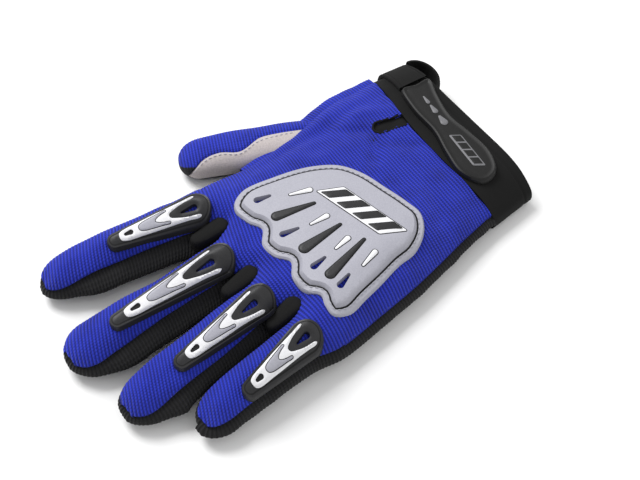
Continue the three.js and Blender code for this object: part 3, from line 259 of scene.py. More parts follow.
def edge_distance(x: Array, y: Array, outline: Array) -> Array:
    """Distance from each point to a closed outline."""
    best = np.full(x.shape, np.inf)
    for a, b in zip(outline, np.roll(outline, -1, 0)):
        best = np.minimum(best, off_segment(x, y, a, b)[0])
    return best


def inside(x: Array, y: Array, outline: Array) -> Array:
    """Whether each point lies inside a closed outline."""
    result = np.zeros(x.shape, bool)
    for a, b in zip(outline, np.roll(outline, -1, 0)):
        if a[1] == b[1]:
            continue
        crosses = (a[1] > y) != (b[1] > y)
        result ^= crosses & (x < (b[0] - a[0]) * (y - a[1]) / (b[1] - a[1]) + a[0])
    return result


def depth_in(x: Array, y: Array, outline: Array) -> Array:
    """Distance inside an outline, negative outside it."""
    return edge_distance(x, y, outline) * np.where(inside(x, y, outline), 1, -1)


def drop_outline(a: Array, b: Array, radius: float, end_radius: float,
                 steps: int = 20) -> Array:
    """A teardrop round two ends.

    Args:
        a: middle of the round end.
        b: middle of the thin end.
        radius: radius at a.
        end_radius: radius at b.
        steps: points round the large end.

    Returns:
        The outline's points.
    """
    run = b - a
    heading = math.atan2(run[1], run[0])
    lean = math.acos(np.clip((radius - end_radius) / np.linalg.norm(run), -1, 1))
    big = heading + np.linspace(lean, 2 * math.pi - lean, steps + 1)
    small = heading + np.linspace(-lean, lean, steps // 2 + 1)
    return np.concatenate([
        a + radius * np.stack([np.cos(big), np.sin(big)], axis=1),
        b + end_radius * np.stack([np.cos(small), np.sin(small)], axis=1),
    ])


@dataclass(frozen=True)
class Finger:
    """One finger of the pattern.

    Its ends are shares of the hand and the finger, its half widths shares of a finger's width.
    """

    name: str
    root: tuple[float, float]
    tip: tuple[float, float]
    bow: float
    halves: tuple[float, float, float]
    crest_tip: float


@dataclass(frozen=True)
class Dent:
    """A soft dent or fold of the back, in shares of the hand's width and height."""

    x: float
    y: float
    turn: float
    long: float
    wide: float
    lift: float


@dataclass(frozen=True)
class Pattern:
    """The glove's cutting pattern: the plan of its panels and the heights of its seams."""

    hand_width: float = 106
    hand_length: float = 108
    hand_height: float = 23.5
    finger_width: float = 21
    finger_length: float = 86
    finger_height: float = 21.5
    tip_round: float = 13
    web_slope: float = 9
    index_setback: float = 2
    little_setback: float = 4.3
    palm_turn_up: float = 3
    finger_roll: float = 11
    hand_roll: float = 24
    palm_roll: float = 7
    cuff_length: float = 29
    roll_start: float = 0.1
    tip_reach: float = 0.994
    tip_power: float = 2.4
    tip_asides: tuple[float, ...] = (2.4, 1.2, 0.0)
    settle_outer: float = 5
    settle_inner: float = 9
    seam_blend: float = 0.35
    width_places: tuple[float, float, float] = (0, 0.4, 0.85)
    roll_change: float = 0.75
    hand: Table = Table(
        ("along", "thumb_edge", "little_edge", "thumb_seam", "little_seam", "crest"),
        (
            (0.00, 0.524, -0.400, 0.56, 0.50, 0.84),
            (0.15, 0.522, -0.427, 0.60, 0.52, 0.88),
            (0.30, 0.494, -0.460, 0.62, 0.54, 0.95),
            (0.47, 0.456, -0.492, 0.64, 0.54, 1.00),
            (0.66, 0.438, -0.517, 0.64, 0.55, 1.02),
            (0.85, 0.453, -0.540, 0.64, 0.56, 1.00),
            (1.00, 0.466, -0.548, 0.66, 0.58, 0.95),
        ),
    )
    dip: Table = Table(
        ("across", "dip"), ((0, 0.28), (0.2, 0.14), (0.45, 0.04), (0.8, 0.03), (1, 0.10))
    )
    side_seam: Table = Table(
        ("s", "z"), ((0, 0.76), (0.35, 0.71), (0.75, 0.66), (0.92, 0.56), (1, 0.50))
    )
    crest_root: Table = Table(("s", "z"), ((0, 1.06), (0.35, 1), (0.75, 0.5), (1, 0)))
    crest_end: Table = Table(("s", "z"), ((0, 0), (0.35, 0), (0.75, 0.5), (1, 1)))
    fingers: tuple[Finger, ...] = (
        Finger("index", (0.347, 0.955), (0.462, 0.900), 0.07, (0.50, 0.46, 0.42), 0.76),
        Finger("middle", (0.085, 1.000), (0.077, 1.000), -0.01, (0.46, 0.43, 0.52), 0.78),
        Finger("ring", (-0.165, 0.980), (-0.258, 0.915), -0.02, (0.42, 0.46, 0.46), 0.74),
        Finger("little", (-0.425, 0.930), (-0.477, 0.645), 0.02, (0.47, 0.44, 0.40), 0.68),
    )
    slits: tuple[tuple[float, float], ...] = ((0.222, 0.968), (-0.057, 1.000), (-0.288, 0.940))
    dents: tuple[Dent, ...] = (
        Dent(0.40, 0.36, 2, 0.28, 0.034, -0.10),
        Dent(0.34, 0.37, 25, 0.10, 0.050, -0.07),
        Dent(0.36, 0.12, -20, 0.12, 0.035, 0.06),
        Dent(0.30, 0.22, -35, 0.12, 0.028, -0.05),
        Dent(0.17, 0.14, 30, 0.11, 0.030, -0.05),
        Dent(-0.22, 0.16, 70, 0.16, 0.035, -0.03),
        Dent(-0.40, 0.45, -8, 0.20, 0.050, -0.04),
    )

    def dome(self, share: Array) -> Array:
        """Rise of puffed cloth from a seam (0) to its crest (1)."""
        start = round_edge(np.array(self.roll_start), 1)
        q = self.roll_start + (1 - self.roll_start) * np.clip(share, 0, 1)
        return (round_edge(q, 1) - start) / (1 - start)

    def hand_edge(self, side: Side, y: Array) -> Array:
        """The hand's edge in plan."""
        name = "thumb_edge" if side is Side.THUMB else "little_edge"
        return self.hand.read(name, y / self.hand_length) * self.hand_width

    def hand_seam(self, side: Side, y: Array) -> Array:
        """Height of the back's seam along the hand's edge."""
        name = "thumb_seam" if side is Side.THUMB else "little_seam"
        return self.hand.read(name, y / self.hand_length) * self.hand_height

    def edge_at(self, side: Side, y: float = 0.0) -> float:
        """The hand's edge in plan at one place, or else at the wrist."""
        return float(self.hand_edge(side, np.array(y)))

    def wrist_y(self, across: Array) -> Array:
        """Where the wrist seam runs, from the thumb edge (0) to the little edge (1)."""
        return -self.dip.read("dip", across) * self.cuff_length

    def wrist_end(self, side: Side) -> float:
        """Where the wrist seam ends at a side of the hand."""
        return float(self.wrist_y(np.array(0.0 if side is Side.THUMB else 1.0)))

    def wrist_edges(self) -> list[float]:
        """The hand's two edges at the ends of the wrist seam, the thumb side's first."""
        return [self.edge_at(side, self.wrist_end(side)) for side in Side]

    def strap_end(self, left: float, right: float) -> float:
        """Where the strap stops and the tab starts, between the hand's two edges."""
        return mix(left, right, 2 / 12)

    def knuckles(self, rail: Rail) -> Array:
        """Points of the knuckle row at the thumb edge, the three slits and the little edge."""
        web = self.web_slope if rail is Rail.PALM else 0
        first = self.fingers[0].root[1] * self.hand_length - self.index_setback
        last = self.fingers[3].root[1] * self.hand_length - self.little_setback
        slits = [(x * self.hand_width, y * self.hand_length + web) for x, y in self.slits]
        ends = [(self.hand_edge(side, y), y) for side, y in zip(Side, (first, last))]
        return flat([ends[0], *slits, ends[1]])

    def axis(self, finger: Finger) -> tuple[Array, Array, float, Array]:
        """A finger's root, direction, length and the direction across it."""
        root = flat([finger.root])[0] * (self.hand_width, self.hand_length)
        x, reach = finger.tip
        tip = np.array([x * self.hand_width, self.hand_length + reach * self.finger_length])
        length = float(np.linalg.norm(tip - root))
        run = (tip - root) / length
        return root, run, length, np.array([run[1], -run[0]])

    def local(self, finger: Finger, x: Array, y: Array) -> tuple[Array, Array]:
        """Distances of points across a finger's axis and along it from its root."""
        root, run, _, across = self.axis(finger)
        dx, dy = x - root[0], y - root[1]
        return dx * across[0] + dy * across[1], dx * run[0] + dy * run[1]

    def middle(self, finger: Finger, reach: Array) -> Array:
        """Points of a finger's bowed middle line."""
        root, run, length, across = self.axis(finger)
        bow = finger.bow * self.finger_width * bulge(reach / length)
        return root + np.multiply.outer(reach, run) + np.multiply.outer(bow, across)

    def half(self, finger: Finger, reach: Array) -> Array:
        """Half a finger's width."""
        length = self.axis(finger)[2]
        places = (*self.width_places, 1)
        rows = Table(("s", "half"), tuple(zip(places, (*finger.halves, finger.halves[-1]))))
        full = rows.read("half", np.clip(reach / length, 0, 1)) * self.finger_width
        return full * drawn_in(reach, length, self.tip_round, self.tip_power)

    def is_outer(self, index: int, side: Side) -> bool:
        """Whether a finger's side is also the hand's edge."""
        return (index, side) in ((0, Side.THUMB), (3, Side.LITTLE))

    def side(self, index: int, side: Side, t: Array, rail: Rail) -> Array:
        """A finger's edge in plan.

        Args:
            index: which finger, from the thumb side.
            side: which side of it.
            t: shares from the knuckle row to the tip.
            rail: the back's seam or the palm's.

        Returns:
            The plan points.
        """
        finger = self.fingers[index]
        root, run, length, across = self.axis(finger)
        start = self.knuckles(rail)[index if side is Side.THUMB else index + 1]
        start_reach = float((start - root) @ run)
        reach = mix(start_reach, length * self.tip_reach, np.asarray(t, float))
        outward = side.value * across
        at = np.array(start_reach)
        at_start = self.middle(finger, at) + outward * self.half(finger, at)
        outer = self.is_outer(index, side)
        settle = self.finger_length / (self.settle_outer if outer else self.settle_inner)
        q = np.clip((reach - start_reach) / settle, 0, 1)
        settled = smooth(q) if outer else round_edge(q, 1)
        edge = self.middle(finger, reach) + np.multiply.outer(self.half(finger, reach), outward)
        return edge + np.multiply.outer(1 - settled, start - at_start)

    def seam_height(self, index: int, side: Side, t: Array) -> Array:
        """Height of the back's seam along a finger's side."""
        height = self.side_seam.read("z", t) * self.finger_height
        if not self.is_outer(index, side):
            return height
        start = self.hand_seam(side, np.array(self.hand_length))
        return mix(start, height, smooth(t / self.seam_blend))

    def side_path(self, index: int, side: Side, rail: Rail, steps: int = 40) -> Array:
        """A finger's seam in space, from the knuckle row to the middle of the tip."""
        t = crowded(steps)
        plan = self.side(index, side, t, rail)
        z = self.seam_height(index, side, t)
        if rail is Rail.PALM:
            z = np.full(len(t), self.palm_turn_up)
        length, across = self.axis(self.fingers[index])[2:]
        tip = self.middle(self.fingers[index], np.array(length))
        ends = [tip + across * side.value * aside for aside in self.tip_asides]
        return np.concatenate([np.column_stack([plan, z]), [(*end, z[-1]) for end in ends]])

    def hand_path(self, side: Side, rail: Rail, start: float = 0, stop: float = 1,
                  steps: int = 60) -> Array:
        """The hand's edge in space, between two shares from the wrist to the knuckle row."""
        knuckles = self.knuckles(Rail.BACK)
        top = knuckles[0 if side is Side.THUMB else 4][1]
        y = mix(self.wrist_end(side), top, np.linspace(start, stop, steps + 1))
        z = np.full(len(y), self.palm_turn_up) if rail is Rail.PALM else self.hand_seam(side, y)
        return np.column_stack([self.hand_edge(side, y), y, z])

    def rails(self, rail: Rail) -> tuple[list[Array], list[Array]]:
        """Seams between the fingers, and seams along the outside."""
        steps = 24
        inner, outer = [], []
        for index in range(len(self.fingers)):
            for side in Side:
                path = self.side_path(index, side, rail, steps)
                if self.is_outer(index, side):
                    hand = self.hand_path(side, Rail.BACK, steps=steps)
                    outer.append(np.concatenate([hand, path[1:]]))
                else:
                    inner.append(path)
        return inner, outer

    @cached_property
    def back_rails(self) -> tuple[list[Array], list[Array]]:
        """The back's seams."""
        return self.rails(Rail.BACK)

    @cached_property
    def palm_rails(self) -> tuple[list[Array], list[Array]]:
        """The palm's seams."""
        return self.rails(Rail.PALM)

    @staticmethod
    def nearest(paths: list[Array], x: Array, y: Array) -> tuple[Array, Array]:
        """Distance in plan to the nearest path, and the path's height there."""
        best = np.full(x.shape, np.inf)
        height = np.zeros(x.shape)
        for path in paths:
            for a, b in zip(path[:-1], path[1:]):
                distance, share = off_segment(x, y, a, b)
                closer = distance < best
                best = np.where(closer, distance, best)
                height = np.where(closer, a[2] + share * (b[2] - a[2]), height)
        return best, height

    def crest(self, x: Array, y: Array) -> Array:
        """Height of the cloth's crest, away from its seams."""
        best = np.full(x.shape, np.inf)
        share = np.zeros(x.shape)
        reach = np.zeros(x.shape)
        tip = np.zeros(x.shape)
        for finger in self.fingers:
            lateral, along = self.local(finger, x, y)
            closer = np.abs(lateral) < best
            best = np.where(closer, np.abs(lateral), best)
            reach = np.where(closer, along, reach)
            share = np.where(closer, np.clip(along / self.axis(finger)[2], 0, 1), share)
            tip = np.where(closer, finger.crest_tip, tip)
        hand = self.hand.read("crest", y / self.hand_length) * self.hand_height
        crests = self.crest_root.read("z", share) + self.crest_end.read("z", share) * tip
        finger_crest = crests * self.finger_height
        return mix(hand, finger_crest, smooth(reach / self.tip_round + 0.5))

    def back_height(self, x: Array, y: Array) -> Array:
        """Height of the back over the plan: seams, crests and dents together."""
        x, y = np.broadcast_arrays(np.asarray(x, float), np.asarray(y, float))
        near_inner, inner_z = self.nearest(self.back_rails[0], x, y)
        near_outer, outer_z = self.nearest(self.back_rails[1], x, y)
        knuckles = smooth((y / self.hand_length - self.roll_change) * 3)
        roll = mix(self.hand_roll, self.finger_roll, knuckles)
        inner_rise = self.dome(near_inner / self.finger_roll)
        outer_rise = self.dome(near_outer / roll)
        crest = self.crest(x, y)
        pull = 2 - inner_rise - outer_rise
        seam = inner_z * (1 - inner_rise) + outer_z * (1 - outer_rise)
        seam = np.where(pull > TINY, seam / np.maximum(pull, TINY), crest)
        z = crest - np.maximum(crest - seam, 0) * (1 - inner_rise * outer_rise)
        fade = np.minimum(np.minimum(inner_rise, outer_rise * 2), 1)
        for dent in self.dents:
            turn = math.radians(dent.turn)
            dx = x / self.hand_width - dent.x
            dy = (y - dent.y * self.hand_length) / self.hand_width
            along = -dx * math.sin(turn) + dy * math.cos(turn)
            wide = dx * math.cos(turn) + dy * math.sin(turn)
            press = np.exp(-((along / dent.long) ** 2) - (wide / dent.wide) ** 2)
            z = z + dent.lift * self.hand_height * fade * press
        return z

    def palm_height(self, x: Array, y: Array) -> Array:
        """Height of the palm's underside: flat, turned up at its seams."""
        inner, outer = self.palm_rails
        near = np.minimum(self.nearest(inner, x, y)[0], self.nearest(outer, x, y)[0])
        return self.palm_turn_up * (1 - self.dome(near / self.palm_roll))


PATTERN = Pattern()


@dataclass
class Place:
    """Where the pattern lies in the frame."""

    x: float = 0
    y: float = 0

    def settle(self) -> None:
        """Works the pattern's place out from the pull loop's and the cuff's boxes."""
        loop_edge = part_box("pull_loop")[1].x / METRE
        cuff_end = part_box("cuff")[0].y / METRE
        self.x = loop_edge - PATTERN.edge_at(Side.THUMB)
        self.y = cuff_end + PATTERN.cuff_length

    def world(self, points: Array) -> Array:
        """Pattern points in the frame, in metres."""
        return (np.asarray(points, float) + (self.x, self.y, 0)) * METRE


PLACE = Place()


@dataclass
class Skin:
    """A mesh in the making, with a material slot for each face.

    Its UVs are in millimetres or, across ribs, in ribs.
    """

    points: list[Array] = field(default_factory=list)
    uvs: list[Array] = field(default_factory=list)
    faces: list[tuple[int, ...]] = field(default_factory=list)
    slots: list[int] = field(default_factory=list)
    count: int = 0

    def add_points(self, points: Array, uvs: Array) -> int:
        """Adds points with their UVs and returns the first one's index."""
        start = self.count
        self.points.append(points)
        self.uvs.append(uvs)
        self.count += len(points)
        return start

    def add_faces(self, faces: Iterable[Sequence[int]], slot: int = 0) -> None:
        """Adds faces with one material slot."""
        faces = [tuple(int(i) for i in f) for f in faces]
        self.faces += faces
        self.slots += [slot] * len(faces)

    def add_grid(self, grid: Array, uv: Array, slot: int = 0, closed: bool = False,
                 flip: bool = False) -> None:
        """Adds a grid of points as faces.

        Args:
            grid: rows by columns of points.
            uv: rows by columns of UVs.
            slot: the faces' material slot.
            closed: whether the last column joins the first.
            flip: whether the faces are turned over.
        """
        rows, columns = grid.shape[:2]
        start = self.add_points(grid.reshape(-1, 3), uv.reshape(-1, 2))
        wide = columns if closed else columns - 1
        r, c = np.meshgrid(np.arange(rows - 1), np.arange(wide), indexing="ij")
        n = (c + 1) % columns
        below, above = r * columns, (r + 1) * columns
        quad = np.stack([below + c, below + n, above + n, above + c], axis=-1)
        quad = quad.reshape(-1, 4) + start
        self.add_faces(quad[:, ::-1] if flip else quad, slot)

    def cut(self, outline: Array) -> None:
        """Leaves out the faces whose middle lies inside an outline."""
        points = np.concatenate(self.points)
        middle = points[np.array(self.faces)].mean(1)
        keep = ~inside(middle[:, 0], middle[:, 1], outline)
        self.faces = [face for face, kept in zip(self.faces, keep) if kept]
        self.slots = [slot for slot, kept in zip(self.slots, keep) if kept]

    def build(self, name: str, finishes: Sequence["Finish"], node: str | Sequence[str],
              angle: float = 40, weld: bool = False) -> None:
        """Makes the object, dresses it and puts it in the frame.

        Args:
            name: the piece's name.
            finishes: a finish for each material slot.
            node: the node or nodes that it replaces, or nothing.
            angle: faces that meet at more than this many degrees keep a sharp edge.
            weld: whether points in the same place become one.
        """
        points = PLACE.world(np.concatenate(self.points))
        piece = f"{name}_dressed"
        mesh = bpy.data.meshes.new(piece)
        mesh.from_pydata(points.tolist(), [], self.faces)
        uvs = np.concatenate(self.uvs)
        layer = mesh.uv_layers.new(name="cloth")
        loops = np.zeros(len(mesh.loops), np.int32)
        mesh.loops.foreach_get("vertex_index", loops)
        layer.data.foreach_set("uv", uvs[loops].astype(np.float32).ravel())
        mesh.polygons.foreach_set("material_index", np.array(self.slots, np.int32))
        mesh.polygons.foreach_set("use_smooth", np.ones(len(mesh.polygons), bool))
        mesh.update()
        if weld:
            shell = bmesh.new()
            shell.from_mesh(mesh)
            bmesh.ops.remove_doubles(shell, verts=shell.verts, dist=WELD_DISTANCE)
            shell.to_mesh(mesh)
            shell.free()
        if angle < 180:
            mesh.set_sharp_from_angle(angle=math.radians(angle))
        obj = bpy.data.objects.new(piece, mesh)
        bpy.context.scene.collection.objects.link(obj)
        for finish in finishes:
            mesh.materials.append(finish.material())
        nodes = [node] if isinstance(node, str) else list(node)
        if nodes:
            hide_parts(*nodes)
        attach(obj, "root")
        log.info("%s: %d faces", name, len(self.faces))


def ripple(x: Array, y: Array, size: float, seed: float) -> Array:
    """Gentle unevenness of cloth: crossed waves near a size in millimetres, from -1 to 1."""
    total = np.zeros(np.broadcast(x, y).shape)
    waves = 4
    for k in range(waves):
        angle = seed + 2.4 * k
        wave = 2 * math.pi / (size * (0.8 + 0.23 * k))
        along = x * math.cos(angle) + y * math.sin(angle)
        total = total + np.sin(wave * along + seed * (k + 1) * 1.7)
    return total / waves


@dataclass(frozen=True)
class Slack:
    """Unevenness of a cloth: how deep it is, the size of its waves and where they start."""

    depth: float
    size: float
    seed: float

    def at(self, x: Array, y: Array) -> Array:
        """How far the cloth lies off its shape."""
        return self.depth * ripple(x, y, self.size, self.seed)


@dataclass(frozen=True)
class Ridge:
    """A soft ridge, or a groove where its rise is negative, at a depth inside an outline."""

    rise: float
    place: float
    width: float

    def at(self, depth: Array) -> Array:
        """The ridge's height."""
        return self.rise * bump_at(depth - self.place, self.width)


@dataclass
class Relief:
    """A moulded patch made from a plan outline and a height that changes over it."""

    outline: Array
    height: Height
    foot: Height
    contours: list[Array] = field(default_factory=list)
    holes: list[Array] = field(default_factory=list)
    zones: list[tuple[Array, int]] = field(default_factory=list)
    spacing: float = 1.6
    pitch: float = 1.0
    row_share: float = 0.87
    clearance: float = 0.45

    def onto(self, skin: Skin) -> None:
        """Adds the patch and the walls round it to a skin."""
        loops = [self.outline, *self.contours, *self.holes]
        points: list[Array] = []
        edges: list[tuple[int, int]] = []
        for loop in loops:
            start = sum(len(p) for p in points)
            count = len(loop)
            points.append(loop)
            edges += [(start + k, start + (k + 1) % count) for k in range(count)]
        low, high = self.outline.min(0), self.outline.max(0)
        columns = np.arange(low[0], high[0], self.spacing)
        rows = np.arange(low[1], high[1], self.spacing * self.row_share)
        gx, gy = np.meshgrid(columns, rows, indexing="ij")
        gx = gx + np.where(np.arange(gx.shape[1]) % 2, self.spacing / 2, 0)
        gx, gy = gx.ravel(), gy.ravel()
        keep = inside(gx, gy, self.outline)
        for loop in loops:
            keep &= edge_distance(gx, gy, loop) > self.spacing * self.clearance
        points.append(np.column_stack([gx[keep], gy[keep]]))
        plan = [Vector(p) for p in np.concatenate(points)]
        verts, _, faces, *_ = delaunay_2d_cdt(plan, edges, [], 0, PLAN_TOLERANCE)
        plan_points = flat((v.x, v.y) for v in verts)
        tris = np.array([f for f in faces if len(f) == 3])
        middle = plan_points[tris].mean(1)
        shown = inside(middle[:, 0], middle[:, 1], self.outline)
        for hole in self.holes:
            shown &= ~inside(middle[:, 0], middle[:, 1], hole)
        tris, middle = tris[shown], middle[shown]
        slots = np.zeros(len(tris), int)
        for zone, slot in self.zones:
            slots[inside(middle[:, 0], middle[:, 1], zone)] = slot
        x, y = plan_points[:, 0], plan_points[:, 1]
        uvs = np.column_stack([y, x / self.pitch])
        top = skin.add_points(np.column_stack([x, y, self.height(x, y)]), uvs)
        for slot in np.unique(slots):
            skin.add_faces(tris[slots == slot] + top, int(slot))
        used: dict[tuple[int, int], int] = {}
        for tri, slot in zip(tris, slots):
            for k in range(3):
                used[(int(tri[k]), int(tri[(k + 1) % 3]))] = int(slot)
        rim = [(a, b, slot) for (a, b), slot in used.items() if (b, a) not in used]
        corners = sorted({i for a, b, _ in rim for i in (a, b)})
        where = {i: k for k, i in enumerate(corners)}
        rx, ry = x[corners], y[corners]
        foot = np.column_stack([rx, ry, self.foot(rx, ry)])
        base = skin.add_points(foot, uvs[corners] + (1, 0))
        for a, b, slot in rim:
            skin.add_faces([(top + b, top + a, base + where[a], base + where[b])], slot)


@dataclass(frozen=True)
class Thread:
    """A row of stitches along a path."""

    length: float
    gap: float
    radius: float
    shares: tuple[tuple[float, float], ...] = (
        (0, 0.1), (0.12, 0.8), (0.5, 1.0), (0.88, 0.8), (1, 0.1),
    )
    sides: int = 6
    step: float = 0.3
    sunk: float = 0.2
    arch: float = 0.9

    def onto(self, skin: Skin, path: Array, slot: int, closed: bool = True) -> None:
        """Adds stitches to a skin.

        Args:
            skin: the mesh in the making.
            path: points in space that the stitches follow.
            slot: the thread's material slot.
            closed: whether the path closes on itself.
        """
        if closed:
            path = np.concatenate([path, path[:1]])
        fine = resample(path, self.step)
        lengths = measured(fine)
        count = int(lengths[-1] // (self.length + self.gap))
        pitch = lengths[-1] / max(count, 1)
        shares = flat(self.shares)
        turn = np.arange(self.sides) * 2 * math.pi / self.sides
        for k in range(count):
            at = k * pitch + shares[:, 0] * self.length
            spine = read_path(fine, lengths, at)
            spine[:, 2] += self.radius * (self.sunk + self.arch * bulge(shares[:, 0]))
            run = unit(spine[-1] - spine[0])
            across = np.cross(run, (0, 0, 1))
            up = np.cross(across, run)
            ring = np.multiply.outer(np.cos(turn), across) + np.multiply.outer(np.sin(turn), up)
            grid = spine[:, None] + ring[None] * (self.radius * shares[:, 1])[:, None, None]
            uv = np.stack(np.meshgrid(at, turn, indexing="ij"), axis=-1)
            skin.add_grid(grid, uv, slot, closed=True, flip=True)


@dataclass
class Graph:
    """A node tree in the making."""

    tree: bpy.types.NodeTree

    def node(self, kind: str, inputs: dict | None = None, **settings: object) -> bpy.types.Node:
        """Adds a node.

        Args:
            kind: the node's type.
            inputs: sockets to link or values to set, by socket name or number.
            settings: the node's own settings.

        Returns:
            The node.
        """
        node = self.tree.nodes.new(kind)
        for key, value in settings.items():
            setattr(node, key, value)
        for key, value in (inputs or {}).items():
            if isinstance(value, bpy.types.NodeSocket):
                self.tree.links.new(value, node.inputs[key])
            else:
                node.inputs[key].default_value = value
        return node

    def math(self, operation: str, a: object, b: object = 0.0,
             c: object = 0.0) -> bpy.types.NodeSocket:
        """The result of a sum of up to three values."""
        return self.node("ShaderNodeMath", {0: a, 1: b, 2: c}, operation=operation).outputs[0]

    def blend(self, share: object, low: object, high: object) -> bpy.types.NodeSocket:
        """A colour between low and high at share."""
        return self.node("ShaderNodeMix", {0: share, 6: low, 7: high}, data_type="RGBA").outputs[2]

    def ramp(self, value: object, low: float, high: float) -> bpy.types.NodeSocket:
        """Where a value lies between low and high, from 0 to 1."""
        return self.node("ShaderNodeMapRange", {0: value, 1: low, 2: high}).outputs[0]


class Effect(Enum):
    """Effects that several finishes share, each a node group."""

    RIBS = "rib_knit"
    GRAIN = "grain"
    WEAR = "wear"


STITCH_PITCH = 1.15
# How narrow the painted shade in the rib grooves is.
GROOVE_SHADE_POWER = 1.5
STITCH_SWAY = 0.9
STITCH_HEIGHT = 0.14
RIB_HEIGHT = 0.72
WEAR_SCALE = 90.0
WEAR_SHARE = 0.25
# How far the mask darkens the colour: painted shade in rib grooves, random flecks in grain.
GROOVE_SHADE_AND_FLECK_SHARE = 0.8


def effect(kind: Effect) -> bpy.types.NodeTree:
    """The node group of an effect, made when it is first asked for.

    Args:
        kind: which effect.

    Returns:
        The group. It puts out masks and heights only; the ribs' mask marks their grooves for
        painted shade.
    """
    known = bpy.data.node_groups.get(kind.value)
    if known:
        return known
    tree = bpy.data.node_groups.new(kind.value, "ShaderNodeTree")
    graph = Graph(tree)
    if kind is Effect.RIBS:
        tree.interface.new_socket("Cloth", in_out="INPUT", socket_type="NodeSocketVector")
    else:
        tree.interface.new_socket("Scale", in_out="INPUT", socket_type="NodeSocketFloat")
    for name in ("Mask", "Height"):
        tree.interface.new_socket(name, in_out="OUTPUT", socket_type="NodeSocketFloat")
    given = graph.node("NodeGroupInput")
    if kind is Effect.RIBS:
        split = graph.node("ShaderNodeSeparateXYZ", {0: given.outputs[0]})
        turn = graph.math("MULTIPLY", split.outputs[1], 2 * math.pi)
        groove = graph.math("MULTIPLY_ADD", graph.math("COSINE", turn), 0.5, 0.5)
        # Painted shade: the mask darkens the colour in the rib grooves.
        mask = graph.math("POWER", groove, GROOVE_SHADE_POWER)
        sway = graph.math("MULTIPLY", graph.math("SINE", turn), STITCH_SWAY)
        loop = graph.math("MULTIPLY_ADD", split.outputs[0], 2 * math.pi / STITCH_PITCH, sway)
        wave = graph.math("COSINE", loop)
        stitch = graph.math("MULTIPLY_ADD", wave, STITCH_HEIGHT, STITCH_HEIGHT)
        ridge = graph.math("SUBTRACT", 1.0, groove)
        height = graph.math("MULTIPLY_ADD", ridge, RIB_HEIGHT, stitch)
    else:
        place = graph.node("ShaderNodeTexCoord").outputs["Object"]
        detail = 6.0 if kind is Effect.WEAR else 3.0
        sockets = {"Vector": place, "Scale": given.outputs[0]}
        value = graph.node("ShaderNodeTexNoise", {**sockets, "Detail": detail}).outputs[0]
        if kind is Effect.GRAIN:
            cells = graph.node("ShaderNodeTexVoronoi", sockets)
            pores = graph.math("MULTIPLY", cells.outputs[0], 0.5)
            height = graph.math("MULTIPLY_ADD", value, 0.6, pores)
            mask = graph.ramp(value, 0.35, 0.7)
        else:
            height = value
            mask = graph.ramp(value, 0.45, 0.75)
    graph.node("NodeGroupOutput", {0: mask, 1: height})
    return tree


@dataclass(frozen=True)
class Finish:
    """How one stuff looks: its colour, its darker colour for painted groove shade, flecks and wear,
    and its surface.
    """

    name: str
    slot: str
    colour: tuple[float, float, float]
    shade: tuple[float, float, float]
    roughness: float
    surface: Effect = Effect.GRAIN
    scale: float = 1800
    bump: float = 0.00012
    strength: float = 0.35
    sheen: float = 0
    sheen_roughness: float = 0.5
    specular: float = 0.3

    def material(self) -> bpy.types.Material:
        """The finish's material, made when it is first asked for."""
        known = bpy.data.materials.get(f"{self.name}_finish")
        if known:
            return known
        material = bpy.data.materials.new(f"{self.name}_finish")
        material.use_nodes = True
        graph = Graph(material.node_tree)
        shader = material.node_tree.nodes["Principled BSDF"]
        surface = {
            "Roughness": self.roughness, "Sheen Weight": self.sheen,
            "Sheen Roughness": self.sheen_roughness, "Specular IOR Level": self.specular,
        }
        for socket, value in surface.items():
            shader.inputs[socket].default_value = value
        group = graph.node("ShaderNodeGroup", node_tree=effect(self.surface))
        if self.surface is Effect.RIBS:
            cloth = graph.node("ShaderNodeUVMap", uv_map="cloth")
            graph.tree.links.new(cloth.outputs[0], group.inputs[0])
        else:
            group.inputs[0].default_value = self.scale
        wear = graph.node("ShaderNodeGroup", {0: WEAR_SCALE}, node_tree=effect(Effect.WEAR))
        # For the knits the mask is painted shade in the rib grooves; for the other finishes it is
        # random flecks.
        groove_shade_and_flecks = graph.math("MULTIPLY", group.outputs[0], GROOVE_SHADE_AND_FLECK_SHARE)
        shade_flecks_and_wear = graph.math("MULTIPLY_ADD", wear.outputs[0], WEAR_SHARE, groove_shade_and_flecks)
        colour = graph.blend(shade_flecks_and_wear, (*self.colour, 1), (*self.shade, 1))
        graph.tree.links.new(colour, shader.inputs["Base Color"])
        bump = graph.node("ShaderNodeBump", {
            "Strength": self.strength, "Distance": self.bump, "Height": group.outputs[1],
        })
        graph.tree.links.new(bump.outputs[0], shader.inputs["Normal"])
        return material


# Each knit's shade colour is painted shade for its rib grooves.
KNIT = Finish(
    "knit_blue", "knit_blue", (0.018, 0.036, 0.50), (0.005, 0.008, 0.13), 0.85, Effect.RIBS,
    bump=0.0007, strength=0.9, sheen=0.05,
)
SIDE_KNIT = Finish(
    "knit_black", "knit_black", (0.013, 0.013, 0.014), (0.003, 0.003, 0.003), 0.85, Effect.RIBS,
    bump=0.0005, strength=0.8, sheen=0.03,
)
NEOPRENE = Finish(
    "neoprene_black", "neoprene_black", (0.004, 0.004, 0.004), (0.002, 0.002, 0.002), 0.9,
    scale=3500,
)
LEATHER = Finish(
    "palm_leather", "palm_leather", (0.020, 0.020, 0.021), (0.011, 0.011, 0.012), 0.6, scale=900,
    bump=0.0003, strength=0.5,
)
SUEDE = Finish(
    "suede_grey", "suede_grey", (0.50, 0.45, 0.44), (0.38, 0.34, 0.33), 0.95, scale=1500,
    bump=0.0003, strength=0.5, sheen=0.3,
)
BLACK_RUBBER = Finish(
    "rubber_black", "rubber_black", (0.022, 0.022, 0.024), (0.015, 0.015, 0.016), 0.45,
)
